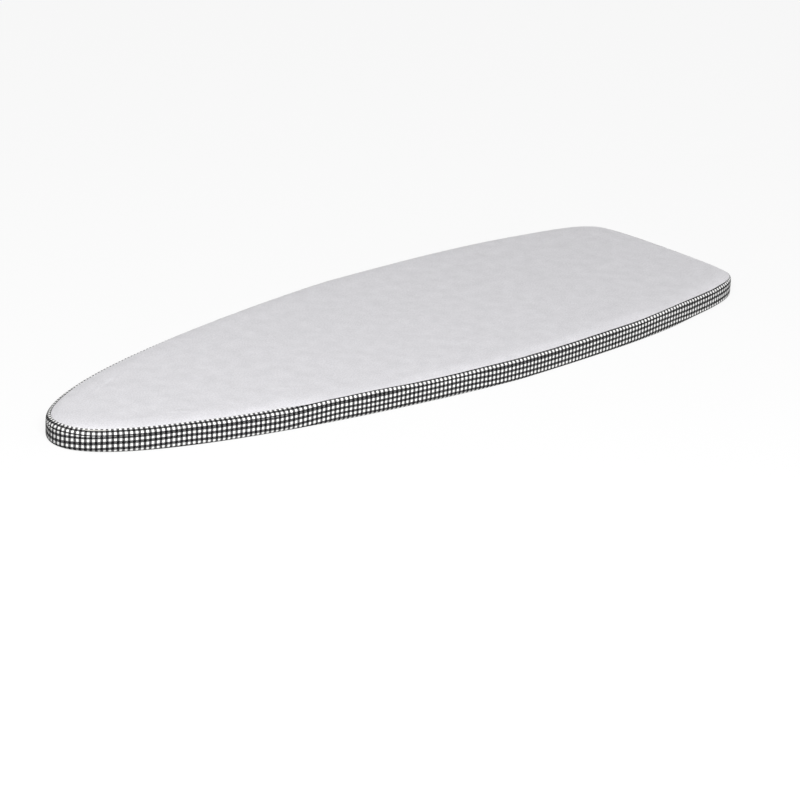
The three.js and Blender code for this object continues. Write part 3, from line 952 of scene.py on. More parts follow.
class Sweep:
    """A closed line carried through a row of rings, with faces between them."""

    def __init__(self, items: Sequence[Any], strips: int = 0) -> None:
        """Starts with a circle, which the first ring gives its shape.

        Args:
            items: what each vertex of a ring stands for, such as the stations of an outline.
            strips: how many strips a second map cuts the cloth into, or none for no such map.
        """
        self.items = items
        self.strips = strips
        self.bm = bmesh.new()
        self.item = self.bm.verts.layers.int.new("item")
        self.ring = self.bm.verts.layers.int.new("ring")
        self.bm.loops.layers.uv.new(CLOTH_MAP)
        if strips:
            self.bm.loops.layers.uv.new(STRIP_MAP)
        bmesh.ops.create_circle(self.bm, segments=len(items), radius=1.0)
        for i, vert in enumerate(self.bm.verts):
            vert[self.item] = i
        self.first = self.edges = self.bm.edges[:]
        self.count = 0

    def add(self, place: Callable[[Any], Vector]) -> None:
        """Adds a ring, and the faces between it and the last one.

        Args:
            place: gives the ring's point for an item.
        """
        if not self.count:
            verts = self.bm.verts[:]
        else:
            made = bmesh.ops.extrude_edge_only(self.bm, edges=self.edges)["geom"]
            verts = [part for part in made if isinstance(part, bmesh.types.BMVert)]
            for vert in verts:
                vert[self.ring] = self.count
            self.edges = [part for part in made if isinstance(part, bmesh.types.BMEdge)
                          and all(vert[self.ring] == self.count for vert in part.verts)]
        for vert in verts:
            vert.co = place(self.items[vert[self.item]])
        self.count += 1

    def lay_map(self, cloth: Callable[[Any, bool, int], tuple[float, float]]) -> None:
        """Writes the cloth's own map.

        Args:
            cloth: gives the map's values for an item, whether the line has come full round to
                it, and the number of the ring.
        """
        laid = self.bm.loops.layers.uv[CLOTH_MAP]
        last = len(self.items) - 1
        for face in self.bm.faces:
            closing = any(loop.vert[self.item] == last for loop in face.loops)
            for loop in face.loops:
                i = loop.vert[self.item]
                loop[laid].uv = cloth(self.items[i], closing and i == 0, loop.vert[self.ring])

    def lay_strips(self, across: Sequence[float], gap: float = 0.04) -> None:
        """Writes the second map, in which the cloth lies in even strips over one square.

        Args:
            across: each ring's distance over the cloth from the first ring.
            gap: the share of a strip's width that is left free at each edge.
        """
        laid = self.bm.loops.layers.uv[STRIP_MAP]
        length, last = len(self.items) // self.strips, len(self.items) - 1
        for face in self.bm.faces:
            items = {loop.vert[self.item] for loop in face.loops}
            start = last if items >= {0, last} else min(items)
            strip, steps = divmod(start, length)
            for loop in face.loops:
                along = steps + (loop.vert[self.item] != start)
                share = gap + (1.0 - 2.0 * gap) * across[loop.vert[self.ring]] / across[-1]
                loop[laid].uv = along / length, (strip + 1.0 - share) / self.strips

    def fill_across(self, edges: Sequence[bmesh.types.BMEdge], cells: int) -> None:
        """Fills one ring with a grid from one long side of the outline to the other.

        Args:
            edges: the ring's edges.
            cells: the number of faces across, an even number. The rows end at the tail and the nose.
        """
        half, end = len(self.items) // 2, cells // 2
        verts = {vert[self.item]: vert for edge in edges for vert in edge.verts}
        sides = [[verts[k] for k in range(start, start + half - 2 * end + 1)] for start in (end, half + end)]
        chains = [self.bm.edges.get(pair) for side in sides for pair in zip(side, side[1:])]
        bmesh.ops.grid_fill(self.bm, edges=chains)

    def face_out(self) -> None:
        """Makes the faces of a closed form point outwards."""
        bmesh.ops.recalc_face_normals(self.bm, faces=self.bm.faces[:])

    def turn_to(self, outward: Callable[[Any], Vector], ring: int) -> None:
        """Makes the faces of an open cloth point outwards.

        Args:
            outward: gives the direction out of the cloth for an item, near a ring.
            ring: the number of that ring.
        """
        bmesh.ops.recalc_face_normals(self.bm, faces=self.bm.faces[:])
        self.bm.normal_update()
        for face in self.bm.faces:
            rings = [vert[self.ring] for vert in face.verts]
            if min(rings) == ring:
                if face.normal.dot(outward(self.items[face.verts[0][self.item]])) < 0.0:
                    bmesh.ops.reverse_faces(self.bm, faces=self.bm.faces[:])
                return


# The layers of the cover


@dataclass(frozen=True)
class IroningFace:
    """The metallised ironing face, one cloth over the padding, sewn down all round.

    Its runs are distances from the seam, in millimetres.
    """

    plan: Plan
    cloth: float = 0.5 * MM
    seam_gap: float = 0.15 * MM
    turned_in: tuple[float, ...] = (0.9 * MM, 0.4 * MM)
    runs: tuple[float, ...] = (0.25, 0.9, 1.8, 3.0, 4.5, 6.5, 9.0, 12.0, 15.5, 20.0, 25.0)
    flat_inset: float = 36.0 * MM
    pucker: float = 0.2 * MM
    pucker_wave: float = 12.0 * MM
    pucker_fade: float = 9.0 * MM
    pucker_change: float = 14.0 * MM
    stitch_dip: float = 0.25 * MM
    dip_fade: float = 1.5 * MM
    cells: int = 70
    station_count: int = 640
    sewn_rings: int = 3
    frames: int = 14
    quality: int = 3
    mass: float = 0.25
    stretch_hold: float = 20.0
    shear_hold: float = 8.0
    bend_hold: float = 0.8
    pressure: float = 0.25
    fullness: float = 0.001
    rise_cap: float = 0.6 * MM
    slide_cap: float = 0.15 * MM

    def line(self, station: Station, run: float) -> Vector:
        """Places a point of the cloth, with its puckers along the seam.

        Args:
            station: the place on the outline.
            run: the distance from the seam.

        Returns:
            The point.
        """
        inset, height = self.plan.over_edge(station, self.plan.seam_reach(station) + self.seam_gap + run)
        fade = math.exp(-run / self.pucker_fade)
        pucker = self.pucker * fade * station.ripple(self.pucker_wave, Seed.PUCKERS, run / self.pucker_change)
        dip = self.stitch_dip * math.exp(-run / self.dip_fade)
        point = station.from_edge(inset, height + pucker - dip)
        return point + Vector((0.0, 0.0, (1.0 - fade) * self.plan.uneven(point)))

    def tucked(self, station: Station, depth: float) -> Vector:
        """Returns a point of the edge that is turned in at the seam."""
        reach = self.plan.seam_reach(station) + self.seam_gap
        return station.from_edge(*self.plan.over_edge(station, reach, depth))

    def flat_edge(self, station: Station) -> Vector:
        """Returns a point of the last ring, where the face is level."""
        point = station.from_edge(self.flat_inset, self.plan.crown)
        return point + Vector((0.0, 0.0, self.plan.uneven(point)))

    def build(self) -> bpy.types.Object:
        """Makes the cloth and lets it settle over the padding.

        Returns:
            The finished cloth.
        """
        sweep = Sweep(self.plan.outline.stations(self.station_count))
        for depth in self.turned_in:
            sweep.add(lambda s, depth=depth: self.tucked(s, depth))
        for run in self.runs:
            sweep.add(lambda s, run=run * MM: self.line(s, run))
        sweep.add(self.flat_edge)
        rings = sweep.bm.verts[:]
        sweep.fill_across(sweep.edges, self.cells)
        for vert in set(sweep.bm.verts) - set(rings):
            vert.co.z = self.plan.crown + self.plan.uneven(vert.co)
        sweep.turn_to(lambda s: Vector((0.0, 0.0, 1.0)), ring=8)
        piece = finished(sweep.bm, "ironing_face")
        self.settle(piece)
        thicken(piece, self.cloth)
        return piece

    def settle(self, piece: bpy.types.Object) -> None:
        """Lets the cloth find its own shape over the padding, held at the seam.

        Args:
            piece: the cloth, whose mesh takes the shape that it settles in.
        """
        mesh = piece.data
        rest = [vert.co.copy() for vert in mesh.vertices]
        sewn = piece.vertex_groups.new(name="Sewn")
        sewn.add(list(range(self.station_count * self.sewn_rings)), 1.0, "REPLACE")
        cloth = piece.modifiers.new("Settle", "CLOTH")
        held = cloth.settings
        held.quality = self.quality
        held.mass = self.mass
        held.tension_stiffness = held.compression_stiffness = self.stretch_hold
        held.shear_stiffness = self.shear_hold
        held.bending_stiffness = self.bend_hold
        held.vertex_group_mass = sewn.name
        held.effector_weights.gravity = 0.0
        held.use_pressure = True
        held.uniform_pressure_force = self.pressure
        held.shrink_min = -self.fullness
        scene = bpy.context.scene
        cloth.point_cache.frame_start, cloth.point_cache.frame_end = 1, self.frames
        for number in range(1, self.frames + 1):
            scene.frame_set(number)
        shown = piece.evaluated_get(bpy.context.evaluated_depsgraph_get()).to_mesh()
        moved = [vert.co.copy() for vert in shown.vertices]
        piece.modifiers.remove(cloth)
        piece.vertex_groups.clear()
        scene.frame_set(1)
        for vert, before, after in zip(mesh.vertices, rest, moved):
            step = after - before
            slide = [max(-self.slide_cap, min(self.slide_cap, part)) for part in step.xy]
            vert.co = before + Vector((*slide, max(0.0, min(self.rise_cap, step.z))))


@dataclass(frozen=True)
class Padding:
    """The foam under the face, and the felt under the foam.

    The foam's side is given by how far in from its start a point lies, in millimetres, and by a
    share of the foam's height there. The felt's foot is given by insets and heights, and its rim
    by insets and depths below its top, in millimetres too.
    """

    plan: Plan
    foam_box: tuple[Vector, Vector]
    felt_box: tuple[Vector, Vector]
    cells: int = 40
    station_count: int = 360
    face_gap: float = 1.0 * MM
    least: float = 0.9 * MM
    first_inset: float = 0.6 * MM
    inset_step: float = 0.5 * MM
    foam_side: tuple[tuple[float, float], ...] = (
        (8.0, 0.0), (-1.2, 0.0), (-1.8, 0.2), (-2.0, 0.5), (-1.5, 0.8), (-0.7, 0.95))
    roll_shares: tuple[float, ...] = (0.0, 0.1, 0.24, 0.45, 0.7, 1.0)
    felt_inset: float = 3.3 * MM
    felt_foot: tuple[tuple[float, float], ...] = ((9.0, 0.0), (1.1, 0.0), (0.3, 0.5), (0.0, 1.3))
    felt_rim: tuple[tuple[float, float], ...] = ((0.3, 1.2), (1.4, 0.3), (2.6, 0.0), (9.0, 0.0))
    felt_yield: float = 0.6
    fray: float = 0.15 * MM
    fray_wave: float = 9.0 * MM

    def foam_start(self, station: Station) -> float:
        """Finds where the foam is just thick enough to be cut.

        Args:
            station: the place on the outline.

        Returns:
            The inset of that place.
        """
        inset = self.plan.round_centre + self.first_inset
        while self.foam_top(station, inset) < self.foam_box[0].z + self.least:
            inset += self.inset_step
        return inset

    def foam_top(self, station: Station, inset: float) -> float:
        """Returns the foam's height under the face."""
        return self.plan.face_height(station, inset) - self.face_gap

    def build_foam(self) -> bpy.types.Object:
        """Makes the foam, rolled off under the face.

        Returns:
            The finished foam.
        """
        low = self.foam_box[0].z
        stations = self.plan.outline.stations(self.station_count)
        starts = [self.foam_start(station) for station in stations]
        sweep = Sweep(stations)
        for back, share in self.foam_side:
            sweep.add(lambda s, back=back * MM, share=share: s.from_edge(
                starts[s.index] + back, low + (self.foam_top(s, starts[s.index]) - low) * share))
        for share in self.roll_shares:
            sweep.add(lambda s, back=self.plan.roll_width * share: s.from_edge(
                starts[s.index] + back, self.foam_top(s, starts[s.index] + back)))
        return self.closed(sweep, "foam_layer_soft")

    def felt_line(self, station: Station, inset: float, height: float) -> Vector:
        """Places a point of the felt, whose cut edge strays and gives way where the edge is low.

        Args:
            station: the place on the outline.
            inset: the distance in from the felt's edge.
            height: the point's height.

        Returns:
            The point.
        """
        strays = self.fray * station.ripple(self.fray_wave, Seed.FELT)
        gives = self.felt_yield * min(0.0, self.plan.lift(station))
        return station.from_edge(self.felt_inset - gives + inset + strays, height)

    def build_felt(self) -> bpy.types.Object:
        """Makes the felt, a flat sheet with a soft cut edge.

        Returns:
            The finished felt.
        """
        low, high = self.felt_box[0].z, self.felt_box[1].z
        edge = [(inset, low + rise * MM) for inset, rise in self.felt_foot]
        edge += [(inset, high - drop * MM) for inset, drop in self.felt_rim]
        sweep = Sweep(self.plan.outline.stations(self.station_count))
        for inset, height in edge:
            sweep.add(lambda s, inset=inset * MM, height=height: self.felt_line(s, inset, height))
        return self.closed(sweep, "felt_layer_soft")

    def closed(self, sweep: Sweep, name: str) -> bpy.types.Object:
        """Closes a layer across its underside and its top.

        Args:
            sweep: the layer, open at its first and last ring.
            name: the piece's name.

        Returns:
            The finished layer.
        """
        sweep.fill_across(sweep.first, self.cells)
        sweep.fill_across(sweep.edges, self.cells)
        sweep.face_out()
        return finished(sweep.bm, name)


@dataclass(frozen=True)
class Skirt:
    """The gingham band and skirt, the hem with its elastic, and the stitches of the hem.

    The fold of the band and the tuck behind it are given in millimetres, by insets and by
    heights over the crease. The wall's heights, the foot and the flat underside are in
    millimetres too, and so are the drifts, of which the row says how high the middle of a white
    row lies on the wall.
    """

    plan: Plan
    elastic_box: tuple[Vector, Vector]
    strap_places: tuple[float, ...]
    pitch: tuple[float, float] = (7.40 * MM, 7.6 * MM)
    cloth: float = 0.45 * MM
    station_count: int = 960
    join_depth: float = 0.6 * MM
    join_width: float = 2.2 * MM

    near_row: float = 3.4 * MM
    far_row: Drift = Drift(((0, 3.4), (50, -0.6), (420, -0.6), (800, 3.4), (1430, 3.4)))
    band_turned_in: tuple[float, ...] = (0.9 * MM, 0.4 * MM)
    band_steps: int = 10
    band_fold: tuple[tuple[float, float], ...] = ((0.25, -0.45), (0.75, -0.25), (1.1, 0.6))
    band_sway: float = 0.2 * MM
    band_wave: float = 24.0 * MM
    band_strips: int = 15

    tuck: tuple[tuple[float, float], ...] = (
        (2.1, 2.0), (1.7, 1.2), (1.5, 0.1), (1.2, -0.9), (0.55, -1.4), (0.1, -2.2))
    wall_heights: tuple[float, ...] = (24.6, 23.0, 20.5, 18.0, 15.5, 13.0, 10.5, 8.5, 7.0)
    wall_sway: float = 0.35 * MM
    wall_wave: float = 48.0 * MM
    wall_change: float = 40.0 * MM
    wall_strips: int = 5
    foot: float = 6.0
    foot_steps: int = 6
    flat_insets: tuple[float, ...] = (9.0, 11.0)
    row: Drift = Drift((
        (0, 14.9), (40, 16.3), (100, 18.6), (190, 20.8), (250, 19.5), (330, 18.7), (430, 24.6), (550, 24.3),
        (640, 24.9), (720, 23.0), (820, 21.7), (940, 22.8), (1000, 23.4), (1060, 25.3), (1100, 25.2),
        (1150, 23.7), (1210, 23.1), (1430, 21.5)))
    foot_lift: Drift = Drift((
        (0, 0.4), (120, 0.0), (1080, 0.0), (1170, 1.6), (1230, 1.9), (1300, 0.5), (1430, 0.0)))

    flange_inset: float = 13.0 * MM
    flange_step: float = 2.0 * MM
    flange_width: float = 18.0 * MM
    flange_shares: tuple[float, ...] = (0.0, 0.14, 0.28, 0.42, 0.56, 0.7, 0.85, 1.0)
    flange_curve: float = 1.5
    most_dip: float = 0.7
    gather: float = 1.3 * MM
    gather_wave: float = 17.0 * MM
    gather_change: float = 0.5
    gather_growth: float = 1.2
    fine_gather_share: float = 0.5
    fine_wave_share: float = 0.45
    clip_hold: float = 13.0 * MM
    clip_ease: float = 22.0 * MM

    hem_low: float = 4.2 * MM
    casing: float = 3.4 * MM
    casing_width: float = 11.0 * MM
    casing_floor: tuple[float, ...] = (8.0 * MM, 5.0 * MM, 2.8 * MM)
    casing_roof: tuple[tuple[float, float], ...] = (
        (3.4 * MM, 0.0), (6.0 * MM, 0.0), (9.0 * MM, 0.0), (10.6 * MM, 0.1 * MM), (11.2 * MM, 0.6 * MM))
    casing_steps: int = 6
    shirr: float = 0.22 * MM
    shirr_wave: float = 5.0 * MM
    shirr_change: float = 9.0 * MM
    elastic_start: float = 1.7 * MM
    elastic_width: float = 8.0 * MM
    elastic_ribs: int = 16
    elastic_rib: float = 0.14 * MM
    elastic_stations: int = 480
    stitch_count: int = 640
    stitch_inset: float = 0.7 * MM
    stitch_drop: float = 0.05 * MM
    thread: float = 0.26 * MM

    def join(self, station: Station) -> float:
        """How deep the joining seam draws the cloth in, in the middle of the tail."""
        off = min(station.arc, station.whole - station.arc)
        return self.join_depth * math.exp(-(off / self.join_width) ** 2)

    def calm(self, station: Station) -> float:
        """Returns nothing where a clip grips the hem, and one well away from it."""
        off = min(abs(station.hem_point.x - place) for place in self.strap_places)
        return eased((off - self.clip_hold) / self.clip_ease)

    def wave(self, station: Station, share: float) -> float:
        """Finds the height of the gathers.

        Args:
            station: the place on the outline.
            share: nothing at the foot, one at the hem.

        Returns:
            The height over the smooth cloth, or below it.
        """
        broad = station.ripple(self.gather_wave, Seed.GATHERS, self.gather_change * share)
        fine = station.ripple(self.gather_wave * self.fine_wave_share, Seed.FINE_GATHERS, share)
        grown = self.gather * self.calm(station) * share ** self.gather_growth
        return grown * (broad + self.fine_gather_share * fine)

    def woven(self, name: str, rings: Sequence[Ring], strips: int, across: Sequence[float],
              row: Callable[[Station, Ring], float]) -> bpy.types.Object:
        """Makes a gingham cloth of its rings, with its check and its thickness.

        Args:
            name: the piece's name.
            rings: the lines round the cover, from the hidden upper edge down.
            strips: how many strips the cloth's second map has.
            across: each ring's distance over the cloth from the first ring.
            row: gives how far over the middle of a white row a ring lies at a station.

        Returns:
            The finished cloth.
        """
        sweep = Sweep(self.plan.outline.stations(self.station_count), strips)
        for ring in rings:
            sweep.add(ring.place)
        sweep.lay_strips(across)
        sweep.lay_map(lambda s, full, i: (
            (s.whole if full else s.arc) / self.pitch[0], row(s, rings[i]) / self.pitch[1]))
        sweep.turn_to(lambda s: s.normal.to_3d(), ring=9)
        piece = finished(sweep.bm, name)
        thicken(piece, self.cloth)
        return piece

    def edge_line(self, station: Station, inset: float, height: float) -> Vector:
        """Returns a point of the band, with the faint waves of its padding."""
        sway = self.band_sway * station.ripple(self.band_wave, Seed.BAND) + self.join(station)
        return station.from_edge(inset + sway, height)

    def band_row(self, station: Station, ring: Ring) -> float:
        """Returns how far a ring of the band lies over the middle of its first white row."""
        first = self.near_row if station.side is Side.RIGHT else self.far_row.at(station) * MM
        return ring.share * self.plan.seam_reach(station) + ring.reach - first

    def band_rings(self) -> list[Ring]:
        """Lays out the band from its turned-in edge at the seam to its fold at the crease.

        Returns:
            The rings. Each one's share is of the distance from the crease to the seam.
        """
        plan, fold = self.plan, self.plan.round_centre - self.plan.round_reach
        rings = [Ring(lambda s, depth=depth: self.edge_line(
            s, *plan.over_edge(s, plan.seam_reach(s), depth)), 1.0, depth) for depth in self.band_turned_in]
        for step in range(self.band_steps):
            share = 1.0 - step / (self.band_steps - 1)
            rings.append(Ring(lambda s, share=share: self.edge_line(
                s, *plan.over_edge(s, plan.seam_reach(s) * share)), share, 0.0))
        for inset, rise in self.band_fold:
            rings.append(Ring(lambda s, inset=fold + inset * MM, rise=rise * MM: self.edge_line(
                s, inset, plan.crease + plan.lift(s) + rise), 0.0, -inset * MM))
        return rings

    def build_band(self) -> bpy.types.Object:
        """Makes the band, from the seam with the face to the fold at the crease.

        Returns:
            The finished band.
        """
        rings = self.band_rings()
        widest = max(self.plan.seam_reach(s) for s in self.plan.outline.stations(self.station_count))
        across = [rings[0].reach + widest * (1.0 - ring.share) - ring.reach for ring in rings]
        return self.woven("edge_band", rings, self.band_strips, across, self.band_row)

    def wall_line(self, station: Station, inset: float, height: float) -> Vector:
        """Places a point of the wall, with the faint waves of cloth that is pulled tight.

        Args:
            station: the place on the outline.
            inset: how far in from the outline the smooth wall lies.
            height: the height over the foot.

        Returns:
            The point.
        """
        top = min(1.0, height / self.plan.crease)
        ripple = station.ripple(self.wall_wave, Seed.WALL, height / self.wall_change)
        sway = self.wall_sway * ripple * math.sin(math.pi * top)
        lift = self.plan.lift(station) * top ** 3 + self.foot_lift.at(station) * MM * (1.0 - top) ** 2
        return station.from_edge(inset + sway + self.join(station), height + lift)

    def wall_row(self, station: Station, ring: Ring) -> float:
        """Returns how far a ring of the skirt lies over the middle of a white row."""
        lift = self.plan.lift(station) * ring.share + self.foot_lift.at(station) * MM * (1.0 - ring.share)
        return ring.reach + lift - self.row.at(station) * MM

    def wall_rings(self) -> list[Ring]:
        """Lays out the tuck behind the band, the wall, the foot and the flat underside.

        Returns:
            The rings. Each one's reach is its height, were the cloth laid straight up.
        """
        crease = self.plan.crease / MM
        section = [(inset, crease + rise) for inset, rise in self.tuck]
        section += [(0.0, height) for height in self.wall_heights]
        for step in range(self.foot_steps + 1):
            angle = math.pi / 2 * step / self.foot_steps
            section.append((self.foot - self.foot * math.cos(angle), self.foot - self.foot * math.sin(angle)))
        section += [(inset, 0.0) for inset in self.flat_insets]
        runs = [0.0] + [math.dist(*pair) for pair in zip(section, section[1:])]
        straight = len(self.tuck)
        reach = sum(runs[:straight + 1]) + section[straight][1]
        rings = []
        for (inset, height), run in zip(section, runs):
            reach -= run
            top = min(1.0, height / crease)
            share = top ** 3 / (top ** 3 + (1.0 - top) ** 2)
            rings.append(Ring(lambda s, inset=inset * MM, height=height * MM: self.wall_line(
                s, inset, height), share, reach * MM))
        return rings

    def flange_line(self, station: Station, share: float) -> Vector:
        """Places a point between the foot and the casing, over the gathers.

        Args:
            station: the place on the outline.
            share: nothing at the foot, one at the casing.

        Returns:
            The point.
        """
        outer = station.from_edge(self.flange_inset, 0.0)
        inner = station.from_hem(self.casing_width, self.hem_low)
        point = outer.lerp(inner, share)
        rise = self.hem_low * share ** self.flange_curve
        point.z = rise + self.foot_lift.at(station) * MM * (1.0 - share)
        return point + Vector((0.0, 0.0, max(self.wave(station, share), -self.most_dip * point.z)))

    def flange_rings(self, reach: float) -> list[Ring]:
        """Lays out the cloth between the foot and the casing.

        Args:
            reach: the reach of the ring before.

        Returns:
            The rings.
        """
        start = reach - self.flange_step
        return [Ring(lambda s, share=share: self.flange_line(s, share), 0.0,
                     start - self.flange_width * share) for share in self.flange_shares]

    def casing_line(self, station: Station, outset: float, height: float) -> Vector:
        """Places a point of the casing, shirred by the elastic inside.

        Args:
            station: the place on the outline.
            outset: how far out from the edge of the hem the point lies.
            height: the height over the casing's underside.

        Returns:
            The point.
        """
        ripple = station.ripple(self.shirr_wave, Seed.SHIRRING, outset / self.shirr_change)
        shirr = self.shirr * abs(self.calm(station) * ripple)
        swell = shirr if height > self.casing / 2 else -shirr
        return station.from_hem(outset, self.hem_low + height + self.wave(station, 1.0) + swell)

    def casing_rings(self, reach: float) -> list[Ring]:
        """Lays out the casing, round the edge of the hem and back over the elastic.

        Args:
            reach: the reach of the ring before.

        Returns:
            The rings.
        """
        radius = self.casing / 2
        section = [(outset, 0.0) for outset in self.casing_floor]
        for step in range(self.casing_steps + 1):
            angle = math.pi * step / self.casing_steps
            section.append((radius - radius * math.sin(angle), radius - radius * math.cos(angle)))
        section += [(outset, self.casing - drop) for outset, drop in self.casing_roof]
        rings, last = [], (self.casing_width, 0.0)
        for place in section:
            reach -= math.dist(last, place)
            rings.append(Ring(lambda s, place=place: self.casing_line(s, *place), 0.0, reach))
            last = place
        return rings

    def build_skirt(self) -> bpy.types.Object:
        """Makes the skirt, from the tuck behind the band to the end of the hem.

        Returns:
            The finished skirt.
        """
        rings = self.wall_rings()
        rings += self.flange_rings(rings[-1].reach)
        rings += self.casing_rings(rings[-1].reach)
        across = [rings[0].reach - ring.reach for ring in rings]
        return self.woven("gingham_skirt_cloth", rings, self.wall_strips, across, self.wall_row)

    def build_elastic(self) -> bpy.types.Object:
        """Makes the ribbed elastic in the casing, which rides over the gathers.

        Returns:
            The finished elastic.
        """
        steps = range(self.elastic_ribs + 1)
        places = [self.elastic_start + self.elastic_width * i / self.elastic_ribs for i in steps]
        grooves = [self.elastic_rib if i % 2 else 0.0 for i in steps]
        low, high = self.elastic_box[0].z, self.elastic_box[1].z
        section = [(outset, high - groove) for outset, groove in zip(places, grooves)]
        section += [(outset, low + groove) for outset, groove in zip(reversed(places), grooves)]
        section.append(section[0])
        sweep = Sweep(self.plan.outline.stations(self.elastic_stations))
        for outset, height in section:
            sweep.add(lambda s, outset=outset, height=height: s.from_hem(outset, height + self.wave(s, 1.0)))
        sweep.lay_map(lambda s, full, i: (section[i][0], s.whole if full else s.arc))
        bmesh.ops.remove_doubles(sweep.bm, verts=sweep.bm.verts[:], dist=MERGE)
        sweep.face_out()
        return finished(sweep.bm, "hem_elastic_band")

    def build_stitches(self) -> bpy.types.Object:
        """Makes the row of stitches that closes the casing, seen from below.

        Returns:
            The finished stitches.
        """
        outset, height = self.casing_width - self.stitch_inset, self.hem_low - self.stitch_drop
        line = [station.from_hem(outset, height + self.wave(station, 1.0))
                for station in self.plan.outline.stations(self.stitch_count)]
        return sewn_row("hem_stitches", [line + line[:1]], self.thread)


@dataclass(frozen=True)
class Strap:
    """An elastic strap across the underside, looped round a clip at each end."""

    place: Place
    box: tuple[Vector, Vector]
    thickness: float = 1.16 * MM
    width: float = 20.0 * MM
    ribs: int = 11
    rib: float = 0.09 * MM
    ribbed_share: float = 0.965
    edge_shares: tuple[float, float] = (0.99, 0.6)
    bar: float = 9.6 * MM
    run: float = 9.3 * MM
    run_steps: int = 14
    run_clear: float = 7.0 * MM
    rise_start: float = 6.2 * MM
    rise_width: float = 3.2 * MM
    rise_steps: int = 8
    rise_end: float = 1.5 * MM
    loop: float = 1.42 * MM
    loop_steps: int = 12
    lap_gap: float = 0.03 * MM
    lap_slope: float = 2.5
    overlap: float = 19.85 * MM
    overlap_shares: tuple[float, ...] = (0.12, 0.25, 0.4, 0.6, 0.8, 1.0)
    box_start: float = 9.0 * MM
    box_length: float = 9.5 * MM
    box_half_width: float = 7.5 * MM
    stitch: float = 2.4 * MM
    thread: float = 0.24 * MM

    @property
    def middle(self) -> float:
        """The strap's place along the cover."""
        return (self.box[0].x + self.box[1].x) / 2

    @property
    def turn(self) -> float:
        """How far out the middle of the loop lies."""
        return self.box[1].y - self.loop - self.thickness / 2

    @property
    def sewn(self) -> float:
        """The height of the sewn end, which lies under the strap."""
        return self.run - self.thickness - self.lap_gap

    def half_path(self) -> list[Vector]:
        """Traces the strap's middle line in Y and Z, up to the sewn end on the left side.

        Returns:
            The points of the line, from the middle of the cover.
        """
        places = [self.turn * i / self.run_steps for i in range(self.run_steps)]
        path = [Vector((place, self.run)) for place in places if place < self.turn - self.run_clear]
        top, low = self.bar + self.loop, self.bar - self.loop
        for step in range(self.rise_steps + 1):
            share = step / self.rise_steps
            path.append(Vector((self.turn - self.rise_start + self.rise_width * share,
                                self.run + (top - self.run) * eased(share))))
        path.append(Vector((self.turn - self.rise_end, top)))
        for step in range(self.loop_steps + 1):
            angle = math.pi / 2 - math.pi * step / self.loop_steps
            path.append(Vector((self.turn + self.loop * math.cos(angle),
                                self.bar + self.loop * math.sin(angle))))
        for share in self.overlap_shares:
            drop = (self.sewn - low) * min(1.0, share * self.lap_slope)
            path.append(Vector((self.turn - self.overlap * share, low + drop)))
        return path

    def section(self) -> list[Vector]:
        """Lays out the webbing's section across its width and thickness, with its ribs.

        Returns:
            The points round the section.
        """
        half, edge = self.width / 2, self.thickness / 2
        ribbed, steps = half * self.ribbed_share, 2 * self.ribs
        top = [Vector((ribbed * (1.0 - 2.0 * i / steps), edge - (self.rib if i % 2 else 0.0)))
               for i in range(steps + 1)]
        wide, high = half * self.edge_shares[0], edge * self.edge_shares[1]
        side = [Vector((-wide, high)), Vector((-half, 0.0)), Vector((-wide, -high))]
        return top + side + [-point for point in top] + [-point for point in side]

    def build(self) -> bpy.types.Object:
        """Makes the strap with both of its loops.

        Returns:
            The finished strap.
        """
        half = self.half_path()
        path = [Vector((-point.x, point.y)) for point in reversed(half[1:])] + half
        reached = list(accumulate((after - before).length for before, after in zip(path[:1] + path, path)))
        sweep = Sweep(self.section())
        for before, point, after in zip(path[:1] + path, path, path[1:] + path[-1:]):
            run = (after - before).normalized()
            sweep.add(lambda flat, point=point, run=run: Vector((
                self.middle + flat.x, point.x - run.y * flat.y, point.y + run.x * flat.y)))
        sweep.lay_map(lambda flat, full, i: (flat.x, reached[i]))
        bmesh.ops.holes_fill(sweep.bm, edges=[edge for edge in sweep.bm.edges if edge.is_boundary])
        sweep.face_out()
        return finished(sweep.bm, f"strap_{self.place.value}_webbing")

    def build_stitches(self) -> bpy.types.Object:
        """Makes the crossed boxes of stitches that hold both loops.

        Returns:
            The finished stitches.
        """
        rows = []
        start = self.turn - self.box_start
        end = start - self.box_length
        for side in Side:
            for height in (self.run + self.thickness / 2, self.sewn - self.thickness / 2):
                a, b, c, d = [Vector((self.middle + across * self.box_half_width, side.value * out, height))
                              for across, out in ((-1, start), (1, start), (1, end), (-1, end))]
                rows += [stitch_points(corners, self.stitch) for corners in ([a, b, c, d, a], [a, c], [b, d])]
        return sewn_row(f"strap_{self.place.value}_stitches", rows, self.thread)


def stitch_points(corners: Sequence[Vector], step: float) -> list[Vector]:
    """Divides straight lines between corners into stitches.

    Args:
        corners: the corners, in order.
        step: about the length of a stitch.

    Returns:
        The points between which the stitches lie.
    """
    points = [corners[0]]
    for before, after in zip(corners, corners[1:]):
        count = max(1, round((after - before).length / step))
        points += [before.lerp(after, (k + 1) / count) for k in range(count)]
    return points


